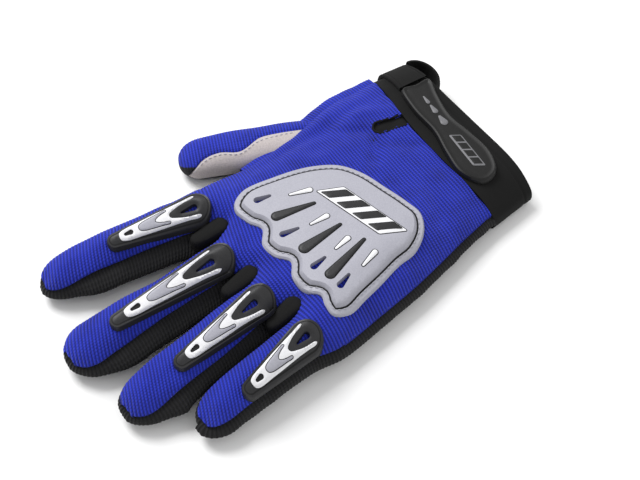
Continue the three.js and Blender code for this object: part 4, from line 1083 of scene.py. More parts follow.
# Near-black painted shade for moulded grooves, the fork eyes and the thin rims round the guard's
# inserts: a darker copy of the black rubber.
PAINTED_GROOVE_SHADE = Finish(
    "rubber_painted_groove_shade", "rubber_black", (0.006, 0.006, 0.007), (0.004, 0.004, 0.004), 0.7,
)
TAB_RUBBER = Finish(
    "rubber_tab", "rubber_black", (0.009, 0.009, 0.009), (0.006, 0.006, 0.006), 0.5,
)
MARK_RUBBER = Finish("rubber_mark", "rubber_grey", (0.17, 0.17, 0.18), (0.13, 0.13, 0.14), 0.5)
GREY_RUBBER = Finish("rubber_grey", "rubber_grey", (0.39, 0.39, 0.44), (0.33, 0.33, 0.38), 0.5)
WHITE_RUBBER = Finish("rubber_white", "rubber_white", (0.82, 0.82, 0.84), (0.72, 0.72, 0.75), 0.35)
PALE_THREAD = Finish("thread_pale", "rubber_grey", (0.55, 0.55, 0.60), (0.35, 0.35, 0.40), 0.7)


def lay_tube(skin: Skin, path: Array, radius: float, slot: int) -> None:
    """Adds a round cord along a path to a skin, its ends drawn in."""
    sides = 10
    run = unit(np.gradient(path, axis=0))
    across = unit(np.cross(run, (0, 0, 1)))
    up = np.cross(across, run)
    turn = np.arange(sides)[None, :, None] * 2 * math.pi / sides
    size = np.full(len(path), radius)
    size[0] = size[-1] = radius * 0.2
    ring = across[:, None] * np.cos(turn) + up[:, None] * np.sin(turn)
    uv = joined(turn[..., 0] * radius, measured(path)[:, None] / CLOTH_PITCH)
    skin.add_grid(path[:, None] + ring * size[:, None, None], uv, slot, closed=True, flip=True)


def on_back(plan: Array, lift: float) -> Array:
    """Plan points laid on the back at a height above it."""
    return np.column_stack([plan, PATTERN.back_height(plan[:, 0], plan[:, 1]) + lift])


@dataclass
class Ribs:
    """How the ribs of the back's knit run: level at the wrist, leaning towards the fingertips."""

    pitch: float = 1.65
    relief: float = 0.30
    hand_lean: float = 0.32
    finger_lean: float = 0.42
    lean_x: float = 0.02
    lean_y: float = 0.25
    lean_spread: float = 0.6
    root_reach: float = 4
    root_spread: float = 0.45
    sharpness: float = 1.3

    def lean_of_hand(self, x: Array, y: Array) -> Array:
        """How far a rib has dropped at a place of the hand."""
        share = smooth((y / PATTERN.hand_length - self.lean_y) / self.lean_spread)
        start = self.lean_x * PATTERN.hand_width
        return self.hand_lean * share * np.maximum(x - start, 0)

    def count(self, x: Array, y: Array) -> Array:
        """Number of ribs from the wrist to a place."""
        hand = self.lean_of_hand(x, y)
        best = np.full(x.shape, np.inf)
        lean = hand
        for finger in PATTERN.fingers:
            root, run, length, _ = PATTERN.axis(finger)
            lateral, reach = PATTERN.local(finger, x, y)
            middle = self.lean_of_hand(root[0] + run[0] * reach, y)
            share = smooth((reach - self.root_reach) / (length * self.root_spread))
            own = middle + (hand - middle) * (1 - share) + self.finger_lean * lateral * share
            closer = np.abs(lateral) < best
            best = np.where(closer, np.abs(lateral), best)
            lean = np.where(closer & (reach > 0), own, np.where(closer, hand, lean))
        return (y + lean) / self.pitch

    def height(self, count: Array) -> Array:
        """How far the knit lies below its ridges."""
        return -self.relief * (0.5 + 0.5 * np.cos(2 * math.pi * count)) ** self.sharpness


@dataclass(frozen=True)
class Crease:
    """A soft fold of the back between two plan points, with its width and depth."""

    start: tuple[float, float]
    stop: tuple[float, float]
    width: float
    depth: float


@dataclass
class BackPanel:
    """The ribbed knit back of the hand and the four fingers, with its keyhole slit."""

    ribs: Ribs = field(default_factory=Ribs)
    rows_per_rib: int = 4
    columns: int = 22
    rim: Rim = ((0.35, -0.7), (1.1, -1.5))
    thickness: float = 1.5
    slit_x: float = 0.245
    slit_lean: float = 0.22
    slit_length: float = 18
    slit_width: float = 7
    slit_wrist: float = 0.26
    gusset_half: float = 6
    gusset_depth: float = 1.5
    gusset_ends: tuple[float, float] = (-2.5, 1.4)
    gusset_lines: float = 0.05
    gusset_middle: float = 11
    edge_start: float = -1.5
    edge_sink: float = 0.5
    edge_radius: float = 0.55
    slope_step: float = 0.4
    slope_limit: float = 1.2
    slack: tuple[Slack, ...] = (Slack(0.65, 24, 0.7), Slack(0.16, 11, 3.1))
    creases: tuple[Crease, ...] = (
        Crease((22, 17), (10, 26), 3.2, 1.1),
        Crease((30, 20), (32, 46), 4.0, 0.9),
        Crease((6, 2), (14, 12), 3.5, 0.7),
        Crease((-22, 6), (-34, 22), 4.5, 0.6),
    )

    def shares(self) -> Array:
        """Places across a finger, closer together at its seams."""
        even = np.linspace(0, 1, self.columns + 1)
        return mix(even, 0.5 - 0.5 * np.cos(math.pi * even), 0.5)

    def hand_plan(self, rail: Rail, rows: int) -> Array:
        """Plan points of the hand, from the wrist to the knuckle row."""
        knuckles = PATTERN.knuckles(rail)
        first, last = knuckles[0], knuckles[-1]
        shares = self.shares()[:-1, None]
        fans = [mix(a, b, shares) for a, b in zip(knuckles[:-1], knuckles[1:])]
        ends = np.concatenate([*fans, knuckles[-1:]])
        across = ((first[0] - ends[:, 0]) / (first[0] - last[0]))[None]
        along = np.linspace(0, 1, rows + 1)[:, None]
        thumb, little = (
            PATTERN.hand_edge(side, mix(PATTERN.wrist_end(side), end[1], along))
            for side, end in zip(Side, (first, last))
        )
        y = mix(PATTERN.wrist_y(across), ends[:, 1][None], along)
        return np.stack([mix(thumb, little, across), y], axis=-1)

    def finger_plan(self, index: int, rail: Rail, rows: int) -> Array:
        """Plan points of a finger, from the knuckle row to its tip."""
        thumb, little = (PATTERN.side(index, side, crowded(rows), rail)[:, None] for side in Side)
        return mix(thumb, little, self.shares()[None, :, None])

    def lifted(self, plan: Array) -> tuple[Array, Array]:
        """Plan points raised to the ribbed cloth, and their UVs."""
        x, y = plan[..., 0], plan[..., 1]
        z = PATTERN.back_height(x, y)
        slopes = []
        for dx, dy in ((self.slope_step, 0), (0, self.slope_step)):
            rise = PATTERN.back_height(x + dx, y + dy) - PATTERN.back_height(x - dx, y - dy)
            slope = rise / (2 * self.slope_step)
            slopes.append(-np.clip(slope, -self.slope_limit, self.slope_limit))
        normal = unit(np.stack([*slopes, np.ones_like(z)], axis=-1))
        count = self.ribs.count(x, y)
        slack = sum(slack.at(x, y) for slack in self.slack)
        lift = self.ribs.height(count) + (slack - self.crease(x, y))
        return np.dstack([x, y, z]) + normal * lift[..., None], np.stack([x, count], axis=-1)

    def crease(self, x: Array, y: Array) -> Array:
        """How far the cloth sinks in the soft folds between the slit and the guard."""
        depth = np.zeros(np.shape(x))
        for crease in self.creases:
            away = off_segment(x, y, crease.start, crease.stop)[0]
            depth += crease.depth * bump_at(away, crease.width)
        return depth

    @staticmethod
    def turned_under(grid: Array, uv: Array, rim: Rim) -> tuple[Array, Array]:
        """A grid with columns added after its last one, turned under.

        Args:
            grid: rows by columns of points.
            uv: their UVs.
            rim: how far inwards and upwards each added column lies.

        Returns:
            The larger grid and its UVs.
        """
        edge = grid[:, -1]
        inward = unit((grid[:, -2] - edge) * (1, 1, 0))
        added = [edge + inward * turn + np.array((0, 0, drop)) for turn, drop in rim]
        grid = np.concatenate([grid, np.stack(added, axis=1)], axis=1)
        return grid, np.concatenate([uv, np.repeat(uv[:, -1:], len(added), axis=1)], axis=1)

    def rimmed(self, grid: Array, uv: Array, rim: Rim) -> tuple[Array, Array]:
        """A grid with both sides turned under, and its UVs."""
        for _ in range(2):
            grid, uv = self.turned_under(grid[:, ::-1], uv[:, ::-1], rim)
        return grid, uv

    def tipped(self, grid: Array, uv: Array, rim: Rim) -> tuple[Array, Array]:
        """A finger's grid with its sides and its tip turned under, and its UVs."""
        grid, uv = (part.transpose(1, 0, 2) for part in self.rimmed(grid, uv, rim))
        grid, uv = self.turned_under(grid, uv, rim)
        return grid.transpose(1, 0, 2), uv.transpose(1, 0, 2)

    def slit(self) -> Array:
        """Outline of the keyhole slit, its mouth beyond the wrist seam."""
        radius = self.slit_width / 2
        mouth = float(PATTERN.wrist_y(np.array(self.slit_wrist))) - self.slit_width
        tip = self.slit_length - self.slit_width
        x = self.slit_x * PATTERN.hand_width
        low = x + (mouth - tip) * self.slit_lean
        turn = np.linspace(0, math.pi, 17)
        arc = np.stack([x + radius * np.cos(turn), tip + radius * np.sin(turn)], axis=1)
        return np.concatenate([[(low - radius, mouth), (low + radius, mouth)], arc])

    def gusset(self) -> None:
        """Makes the elastic that shows in the slit."""
        half, (low, beyond) = self.gusset_half, self.gusset_ends
        across, y = np.meshgrid(
            np.linspace(half, -half, 25), np.linspace(low, self.slit_length + beyond, 40)
        )
        lean = (y - self.gusset_middle) * self.slit_lean * 0.5
        x = self.slit_x * PATTERN.hand_width + across + lean
        lines = self.gusset_lines * np.cos(2 * math.pi * across / CLOTH_PITCH)
        skin = Skin()
        grid = np.dstack([x, y, PATTERN.back_height(x, y) - self.gusset_depth + lines])
        skin.add_grid(grid, np.dstack([y, across / CLOTH_PITCH]), flip=True)
        skin.build("slit_gusset", [NEOPRENE], "slit_gusset", angle=180)

    def build(self) -> None:
        """Makes the panel."""
        skin = Skin()
        per_mm = self.rows_per_rib / self.ribs.pitch
        slit = self.slit()
        plan = self.hand_plan(Rail.BACK, int(PATTERN.hand_length * per_mm))
        skin.add_grid(*self.rimmed(*self.lifted(plan), self.rim), flip=True)
        coarse = plan[::8, ::2]
        lining = PATTERN.back_height(coarse[..., 0], coarse[..., 1]) - self.thickness
        skin.add_grid(np.dstack([coarse, lining]), coarse)
        for index in range(len(PATTERN.fingers)):
            plan = self.finger_plan(index, Rail.BACK, int(PATTERN.finger_length * per_mm))
            skin.add_grid(*self.tipped(*self.lifted(plan), self.rim), flip=True)
        skin.cut(slit)
        edge = resample(np.concatenate([slit[1:], slit[:1]]), 0.5)
        edge = edge[edge[:, 1] > self.edge_start]
        lay_tube(skin, on_back(edge, -self.edge_sink), self.edge_radius, 1)
        skin.build("back_panel", [KNIT, NEOPRENE], "back_panel", angle=180, weld=True)
        self.gusset()


@dataclass
class PalmPanel:
    """The leather palm and the undersides of the fingers."""

    back: BackPanel
    rim: Rim = ((0.2, 0.7), (0.9, 1.5))
    hand_rows: int = 80
    finger_rows: int = 60

    def lifted(self, plan: Array) -> Array:
        """Plan points laid at the palm's height."""
        return np.dstack([plan, PATTERN.palm_height(plan[..., 0], plan[..., 1])])

    def build(self) -> None:
        """Makes the panel."""
        skin = Skin()
        plan = self.back.hand_plan(Rail.PALM, self.hand_rows)
        skin.add_grid(*self.back.rimmed(self.lifted(plan), plan, self.rim))
        for index in range(len(PATTERN.fingers)):
            plan = self.back.finger_plan(index, Rail.PALM, self.finger_rows)
            skin.add_grid(*self.back.tipped(self.lifted(plan), plan, self.rim))
        skin.build("palm_panel", [LEATHER], "palm_panel", angle=180, weld=True)


@dataclass
class Wall:
    """A ribbed side wall between a seam of the back and one of the palm.

    Its path keeps the glove on its left.
    """

    name: str
    nodes: tuple[str, ...]
    top: Array
    low: Array
    swell: Callable[[Array], Array]
    finish: Finish
    pitch: float = WALL_PITCH
    relief: float = 0.10
    rows: int = 16
    tuck: float = 1.0
    sag: float = 1.0
    lap: float = 0.9
    overlap: float = 1.2
    slack: Slack = Slack(0.3, 9, 1.3)
    rows_per_rib: int = 4

    def stretched(self, rail: Array) -> Array:
        """A rail made longer at both ends, so that two walls lap at a fingertip."""
        first, last = unit(rail[0] - rail[1]) * self.lap, unit(rail[-1] - rail[-2]) * self.lap
        return np.concatenate([[rail[0] + first], rail, [rail[-1] + last]])

    def build(self) -> None:
        """Makes the wall."""
        rails = [self.stretched(rail) for rail in (self.top, self.low)]
        lengths = measured(rails[0])
        at = np.linspace(0, lengths[-1], int(lengths[-1] / (self.pitch / self.rows_per_rib)) + 1)
        top, low = (read_path(rail, lengths, at) for rail in rails)
        run = np.gradient(top[:, :2], axis=0)
        for _ in range(3):
            run[1:-1] = (run[:-2] + run[1:-1] * 2 + run[2:]) / 4
        run = unit(run)
        normal = np.column_stack([run[:, 1], -run[:, 0], np.zeros(len(at))])
        high = top - (0, 0, self.overlap) - normal * self.tuck
        foot = low + (0, 0, self.overlap) - normal * self.tuck * 0.8
        q = np.linspace(0, 1, self.rows + 1)
        share = 0.5 - 0.5 * np.cos(math.pi * q)
        count = at / self.pitch
        full = bulge(share**self.sag)
        out = np.multiply.outer(self.swell(at / at[-1]), full)
        out += self.tuck * np.minimum(bulge(share) * 2, 1)
        ribs = self.relief * np.cos(2 * math.pi * count)
        out += ribs[:, None] * np.minimum(bulge(share) * 3, 1)
        tall = np.linalg.norm(high - foot, axis=1)[:, None] * share[None]
        out += self.slack.at(at[:, None], tall) * bulge(share)[None]
        grid = mix(high[:, None], foot[:, None], share[None, :, None])
        grid = grid + normal[:, None] * out[..., None]
        skin = Skin()
        skin.add_grid(grid, joined(tall, count[:, None]), flip=True)
        skin.build(self.name, [self.finish], self.nodes, angle=180)


def between_fingers(first: Array, second: Array) -> Callable[[Array], Array]:
    """The swell of a wall between two fingers, as wide as the gap lets it be.

    Args:
        first: the seam along one finger, from its tip.
        second: the seam along the next, to its tip.

    Returns:
        The swell at shares along both.
    """
    least, most, most_at_tip, most_after = 0.4, 8.0, 1.6, 1.3
    clear, tip_reach, change = 2.2, 8, 24
    ours = PATTERN.nearest([second], first[:, 0], first[:, 1])[0]
    theirs = PATTERN.nearest([first], second[:, 0], second[:, 1])[0]
    lengths = measured(np.concatenate([first, second]))
    room = np.concatenate([
        np.clip(ours - clear, least, most),
        np.clip(theirs * 0.5 - SEAM_GAP, least, most_after),
    ])
    from_tip = np.minimum(lengths, lengths[-1] - lengths)
    away = smooth((from_tip - tip_reach) / change)
    size = np.minimum(room, mix(most_at_tip, most, away))
    return lambda share: np.interp(share, lengths / lengths[-1], size)


@dataclass(frozen=True)
class Tongue:
    """The rounded end of a wall between two fingers, which laps onto the knuckles.

    It lies between the finger with the index and the next one.
    """

    name: str
    index: int
    ends: tuple[float, float] = (1.4, 13)
    radii: tuple[float, float] = (4.3, 3.4)
    above: float = 2.3
    front_height: float = 0.70
    crest: float = 1.6
    edge: float = 3.2
    depth: float = 6
    ribs: tuple[float, float] = (0.04, 0.4)

    def build(self) -> None:
        """Makes the tongue."""
        root = PATTERN.knuckles(Rail.BACK)[self.index + 1]
        both = PATTERN.fingers[self.index:self.index + 2]
        run = unit(sum(PATTERN.axis(finger)[1] for finger in both))
        outline = drop_outline(*(root + run * end for end in self.ends), *self.radii, 60)
        crown = float(PATTERN.back_height(root[:1], root[1:2])[0]) + self.above
        front = PATTERN.hand_height * self.front_height
        rib, wrap = self.ribs

        def height(x: Array, y: Array) -> Array:
            """The tongue's height, full in its middle."""
            along = (x - root[0]) * run[0] + (y - root[1]) * run[1]
            inward = depth_in(x, y, outline)
            ribs = rib * np.cos(2 * math.pi * (inward * wrap + along) / WALL_PITCH)
            fall = mix(crown, front, smooth((along + 1) / (self.ends[1] + 2)))
            return fall + self.crest * round_edge(inward, self.edge) + ribs

        skin = Skin()
        patch = Relief(
            outline, height, lambda x, y: height(x, y) - self.depth, spacing=0.7, pitch=WALL_PITCH,
        )
        patch.onto(skin)
        skin.build(f"{self.name}_tongue", [NEOPRENE], ())


def side_walls() -> None:
    """Makes the walls of the fingers, the little finger's side and the thumb's side."""
    crotch = 0.78
    thumb_most, index_most, little_most = 6.5, 0.9, WALL_SWELL * 1.3

    def thumb_swell(share: Array) -> Array:
        """The swell of the gusset, largest near the thumb."""
        near_thumb = np.sin(math.pi * np.clip(share * 0.75 + 0.22, 0, 1)) ** 0.7
        return mix(WALL_SWELL, thumb_most, near_thumb)

    for index, name in enumerate(("index_middle", "middle_ring", "ring_little")):
        halves = [
            (PATTERN.side_path(index, Side.LITTLE, rail)[::-1],
             PATTERN.side_path(index + 1, Side.THUMB, rail)[1:])
            for rail in Rail
        ]
        rails = [np.concatenate(half) for half in halves]
        piece = f"{name}_fourchette"
        swell = between_fingers(*halves[0])
        Wall(piece, (piece,), *rails, swell, SIDE_KNIT, sag=1.2).build()
        Tongue(name, index).build()
    rails = [
        np.concatenate([
            PATTERN.hand_path(Side.THUMB, rail, crotch, 1, 16),
            PATTERN.side_path(0, Side.THUMB, rail)[1:],
        ])
        for rail in Rail
    ]
    Wall("index_side_wall", ("index_side_wall",), *rails,
         lambda share: mix(WALL_SWELL, index_most, smooth(share / 0.6)), SIDE_KNIT).build()
    rails = [
        np.concatenate([
            PATTERN.side_path(3, Side.LITTLE, rail)[::-1],
            PATTERN.hand_path(Side.LITTLE, rail)[::-1][1:],
        ])
        for rail in Rail
    ]
    Wall("little_side_band", ("little_side_band",), *rails,
         lambda share: np.full(share.shape, little_most), SIDE_KNIT).build()
    rails = [PATTERN.hand_path(Side.THUMB, rail, 0, crotch) for rail in Rail]
    Wall("thumb_gusset", ("thumb_gusset", "thumb_crotch"), *rails, thumb_swell, KNIT,
         sag=0.55, rows=26).build()


@dataclass
class Thumb:
    """The thumb: a knit back, a suede pad and a leather underside round one tube."""

    length: float = 72
    width: float = 23
    height: float = 16.5
    splay: float = 24
    round_end: float = 13
    root: tuple[float, float] = (0.425, 0.300)
    under_edge: float = 0.56
    outer_edge: float = -0.13
    first: float = 0.05
    last: float = 1.0
    rows: int = 150
    black_tip: tuple[float, float] = (0.9, 0.40)
    tip_power: float = 2.3
    corner_power: float = 0.82
    seam: Ridge = Ridge(0.75, 0, 0.9)
    slack: Slack = Slack(0.25, 17, 2.1)
    faded: tuple[float, float, float, float] = (0.6, 0.15, 0.7, 0.15)
    stitched: tuple[float, float] = (0.2, 0.93)
    sections: Table = Table(
        ("along", "half", "height"),
        ((0, 0.54, 0.84), (0.4, 0.50, 0.94), (0.75, 0.49, 0.92), (1, 0.46, 0.80)),
    )
    pad_edge: Table = Table(
        ("along", "turn"),
        (
            (0, 0.22), (0.30, 0.23), (0.45, 0.25), (0.58, 0.32), (0.72, 0.30), (0.84, 0.34),
            (0.91, 0.44), (0.95, 0.54), (1, 0.55),
        ),
    )

    def point(self, along: Array, turn: Array, inset_by: Array) -> Array:
        """Points of the thumb's surface at shares along it and turns round it."""
        angle = math.radians(self.splay)
        run = np.array((math.sin(angle), math.cos(angle)))
        across = np.array((run[1], -run[0]))
        reach = along * self.length
        drawn = drawn_in(reach, self.length, self.round_end, self.tip_power)
        full = self.sections.read("height", along) * self.height
        half = np.maximum(self.sections.read("half", along) * self.width * drawn - inset_by, 0)
        high = np.maximum(full / 2 * drawn - inset_by, 0)
        cos, sin = (
            np.sign(wave) * np.abs(wave) ** self.corner_power
            for wave in (np.cos(2 * math.pi * turn), np.sin(2 * math.pi * turn))
        )
        wide = half * cos
        x = self.root[0] * PATTERN.hand_width + run[0] * reach + across[0] * wide
        y = self.root[1] * PATTERN.hand_length + run[1] * reach + across[1] * wide
        return np.stack([x, y, full / 2 + high * sin], axis=-1)

    def panel(self, name: str, start: Callable[[Array], Array], stop: Callable[[Array], Array],
              finish: Finish, columns: int, relief: float = 0) -> None:
        """Makes one panel.

        Args:
            name: the piece and its node.
            start: the turn where the panel starts, at shares along the thumb.
            stop: the turn where it stops.
            finish: its finish.
            columns: faces across it.
            relief: depth of its ribs, which fade in the thumb's middle.
        """
        along = mix(self.first, self.last, crowded(self.rows))[:, None]
        share = np.linspace(0, 1, columns + 1)[None]
        turn = mix(start(along), stop(along), share)
        girth = math.pi * self.width * np.abs(stop(along) - start(along))
        to_edge = np.minimum(share, 1 - share) * girth
        sink = self.seam.at(to_edge)
        count = along * self.length / CLOTH_PITCH
        fade, first, last, change = self.faded
        middle = smooth((along - first) / change) * (1 - smooth((along - last) / change))
        strength = 1 - fade * middle
        ribs = relief * strength * (0.5 + 0.5 * np.cos(2 * math.pi * count))
        slack = self.slack.at(along * self.length, share * girth)
        grid = self.point(along, turn, np.broadcast_to(sink + ribs + slack, turn.shape))
        grid[..., 2] = np.maximum(grid[..., 2], 0)
        skin = Skin()
        skin.add_grid(grid, joined(share * girth, count))
        finishes = [finish]
        if finish is KNIT:
            finishes.append(SIDE_KNIT)
            dark = (along > self.black_tip[0]) & (turn > self.black_tip[1])
            skin.slots = [int(v) for v in dark[1:, 1:].ravel()]
        skin.build(name, finishes, name, angle=180)

    def build(self) -> None:
        """Makes the thumb's three panels and the stitches along its pad."""

        def pad(along: Array) -> Array:
            """Where the pad meets the knit."""
            return self.pad_edge.read("turn", along)

        def at(turn: float) -> Callable[[Array], Array]:
            """A seam that stays at one turn."""
            return lambda along: np.full(np.shape(along), turn)

        under = at(self.under_edge)
        self.panel("thumb_back", at(self.outer_edge), pad, KNIT, 44, 0.2)
        self.panel("thumb_pad", pad, under, SUEDE, 40)
        self.panel("thumb_under", under, at(self.outer_edge + 1), LEATHER, 36)
        along = np.linspace(*self.stitched, 120)
        seam = self.point(along, pad(along) + 0.020, np.full(along.shape, -0.05))
        skin = Skin()
        Thread(1.5, 1.0, 0.22).onto(skin, seam, 0, closed=False)
        skin.build("thumb_stitches", [PALE_THREAD], (), angle=180)


@dataclass
class Wrist:
    """The neoprene cuff with its strap, pull loop and moulded closure tab."""

    taper: float = 0.04
    cuff_wall: float = 2.0
    strap_wall: float = 1.8
    loop_width: float = 24
    loop_depth: float = 9
    loop_band: float = 11
    around: int = 260
    rows: int = 40
    side_height: float = 0.72
    stretch: float = 20
    girth: float = 220
    hem_steps: int = 5
    hem: Ridge = Ridge(-0.5, 0.82, 0.5)
    slack: Slack = Slack(0.3, 24, 0.4)
    under_points: int = 7
    strap_start: float = 0.28
    strap_seam: Ridge = Ridge(0.18, 2.2, 0.4)
    strap_edge: tuple[tuple[float, float], ...] = ((0.0, 0.0), (0.0, 0.6), (0.012, 0.95))
    loop_grain: float = 0.12
    loop_lines: int = 9
    loop_round: float = 0.35
    loop_foot: float = 0.2

    def loop(self) -> Array:
        """The hand's section at the wrist.

        Returns:
            x, z, the place across and the outward normal of each point.
        """
        left, right = PATTERN.wrist_edges()
        across = np.linspace(0, 1, 13)
        x = mix(left, right, across)
        rows = list(zip(x, PATTERN.back_height(x, PATTERN.wrist_y(across)), across))
        thumb_z, little_z = (
            float(PATTERN.hand_seam(side, np.array(0.0)) * self.side_height) for side in Side
        )
        low = PATTERN.palm_turn_up
        rows += [(right - WALL_SWELL, little_z, 1), (right - WALL_SWELL, low, 1)]
        for c in range(self.under_points):
            share = 1 - (c + 0.25) / (self.under_points - 0.5)
            rows.append((mix(left, right, share), 0, share))
        rows += [(left + WALL_SWELL, low, 0), (left + WALL_SWELL, thumb_z, 0)]
        ring = closed_curve(flat(rows) * (1, 1, self.stretch), self.around)
        ring = ring * (1, 1, 1 / self.stretch)
        ring[:, 1] = np.maximum(ring[:, 1], 0)
        run = np.roll(ring, -1, 0) - np.roll(ring, 1, 0)
        run = unit(run[:, :2])
        return np.column_stack([ring, run[:, 1], -run[:, 0]])

    def point(self, loop: Array, share: Array, offset: Array) -> Array:
        """Points of the cuff, at an offset outwards from the loop.

        Args:
            loop: the section's points, one for each column.
            share: how far along the cuff each row lies.
            offset: how far outwards each point lies.

        Returns:
            Rows by columns of points.
        """
        middle = sum(PATTERN.edge_at(side) for side in Side) / 2
        x, z, across, nx, nz = (loop[None, :, k] for k in range(5))
        share = np.asarray(share, float)[:, None]
        narrow = 1 - self.taper * share
        front = PATTERN.wrist_y(np.clip(across, 0, 1)) - SEAM_GAP
        y = mix(front, -PATTERN.cuff_length, share)
        z = np.maximum(z * narrow + nz * offset, 0.02)
        return joined(middle + (x - middle) * narrow + nx * offset, y, z)

    def cuff(self, loop: Array) -> None:
        """Makes the cuff, its rear edge bound by a hem."""
        steps, outside = self.hem_steps, self.rows + 1
        turns = np.linspace(0, math.pi, steps + 2)[1:-1]
        share = np.concatenate([
            np.linspace(0, 1, outside), np.full(steps, 1.0), np.linspace(1, 0, 12),
        ])
        outward = np.zeros(len(share))
        from_seam = (share[:outside] - self.hem.place) * PATTERN.cuff_length
        outward[:outside] = self.hem.rise * bump_at(from_seam, self.hem.width)
        outward[outside:outside + steps] = -self.cuff_wall * (0.5 - 0.5 * np.cos(turns))
        outward[outside + steps:] = -self.cuff_wall
        length = share[:, None] * PATTERN.cuff_length
        around = np.arange(len(loop))[None] / len(loop) * self.girth
        slack = self.slack.at(around, length) * bulge(np.clip(share, 0, 1))[:, None]
        grid = self.point(loop, share, np.minimum(outward[:, None] + slack - 0.15, 0.1))
        grid[outside:outside + steps, :, 1] -= 0.5 * np.sin(turns)[:, None]
        skin = Skin()
        skin.add_grid(grid, joined(around, length), closed=True)
        skin.build("cuff", [NEOPRENE], "cuff", angle=180)

    def strap(self, loop: Array) -> None:
        """Makes the strap that comes up round the thumb side."""
        shown = loop[:, 0] >= PATTERN.strap_end(*PATTERN.wrist_edges())
        order = np.nonzero(shown & (loop[:, 1] > PATTERN.palm_turn_up))[0]
        split = np.nonzero(np.diff(order) > 1)[0]
        if len(split):
            order = np.roll(order, -split[0] - 1)
        path = loop[order]
        length = PATTERN.cuff_length
        low, high = self.strap_start, 1 - SEAM_GAP / length
        share = np.linspace(low + 0.03, high - 0.03, 40)
        grooves = [self.strap_seam.at(away * length) for away in (share - low, high - share)]
        front = [(low + inward, rise) for inward, rise in self.strap_edge]
        rear = [(high - inward, rise) for inward, rise in self.strap_edge[::-1]]
        rows = flat([*front, *zip(share, 1.0 - np.maximum(*grooves)), *rear])
        grid = self.point(path, rows[:, 0], SEAM_GAP + self.strap_wall * rows[:, 1:])
        skin = Skin()
        width = (high - low) * length
        skin.add_grid(grid, joined(np.arange(len(path))[None] * 0.8, rows[:, :1] * width))
        skin.build("wrist_strap", [NEOPRENE], "wrist_strap", angle=60)

    def pull_loop(self) -> None:
        """Makes the webbing loop behind the cuff."""
        half, wall = self.loop_width / 2, self.strap_wall
        turn = np.linspace(math.pi, 2 * math.pi, 60)[:, None]
        across = np.linspace(0, 1, 23)
        outer = np.repeat([0.0, 1.0], len(across))
        up = np.concatenate([across, across[::-1]])
        face = np.where(outer > 0.5, 1, -1)
        grain = self.loop_grain * np.cos(2 * math.pi * up * self.loop_lines) * face
        round_off = self.loop_round * np.abs(2 * up - 1) ** 6 * face
        level = (wall - 0.25) * outer + self.loop_grain
        depth = np.clip(level + grain - round_off, 0, wall)[None]
        x = np.cos(turn) * (half - wall + depth) + PATTERN.edge_at(Side.THUMB) - half
        y = np.sin(turn) * (self.loop_depth - wall + depth) - PATTERN.cuff_length - SEAM_GAP
        z = PATTERN.hand_height * self.loop_foot + up[None] * self.loop_band
        skin = Skin()
        uv = joined(turn * half, up[None] * self.loop_band)
        skin.add_grid(joined(x, y, z), uv, closed=True, flip=True)
        skin.build("pull_loop", [NEOPRENE], "pull_loop", angle=50)

    def height(self, x: Array, y: Array) -> Array:
        """Height of the cuff's top over the plan."""
        left, right = PATTERN.wrist_edges()
        across = np.clip((left - x) / (left - right), 0, 1)
        front = PATTERN.wrist_y(across)
        share = np.clip((front - y) / (front + PATTERN.cuff_length), 0, 1)
        return PATTERN.back_height(x, np.minimum(y, front)) * (1 - self.taper * share)

    def build(self) -> None:
        """Makes the cuff, the strap and the pull loop."""
        loop = self.loop()
        self.cuff(loop)
        self.strap(loop)
        self.pull_loop()


def mould(name: str, outline: Array, base: Height, profile: Profile, finishes: Sequence[Finish],
          sink: float = 0.8, decorate: Callable[[Skin], None] | None = None,
          **relief: object) -> None:
    """Makes a moulded piece that stands for the node of its name.

    Args:
        name: the piece and its node.
        outline: its plan outline.
        base: height of what carries it.
        profile: height above the base from the depth inside the outline and the place.
        finishes: a finish for each slot.
        sink: how far its walls reach below the base.
        decorate: adds stitches or cords to it.
        relief: contours, holes, zones and spacing of the patch.
    """
    skin = Skin()
    patch = Relief(
        outline, lambda x, y: base(x, y) + profile(depth_in(x, y, outline), x, y),
        lambda x, y: base(x, y) - sink, **relief,
    )
    patch.onto(skin)
    if decorate:
        decorate(skin)
    skin.build(name, finishes, name, angle=MOULD_ANGLE)


def raised(depth: Array, edge: float, thick: float, foot: float = RUBBER_FOOT) -> Array:
    """Height of a slab with a rounded edge, at a depth inside its outline."""
    return thick * (foot + (1 - foot) * round_edge(depth, edge))


def button(edge: float, thick: float) -> Profile:
    """The profile of a plain raised piece with a rounded edge."""
    return lambda depth, x, y: raised(depth, edge, thick)


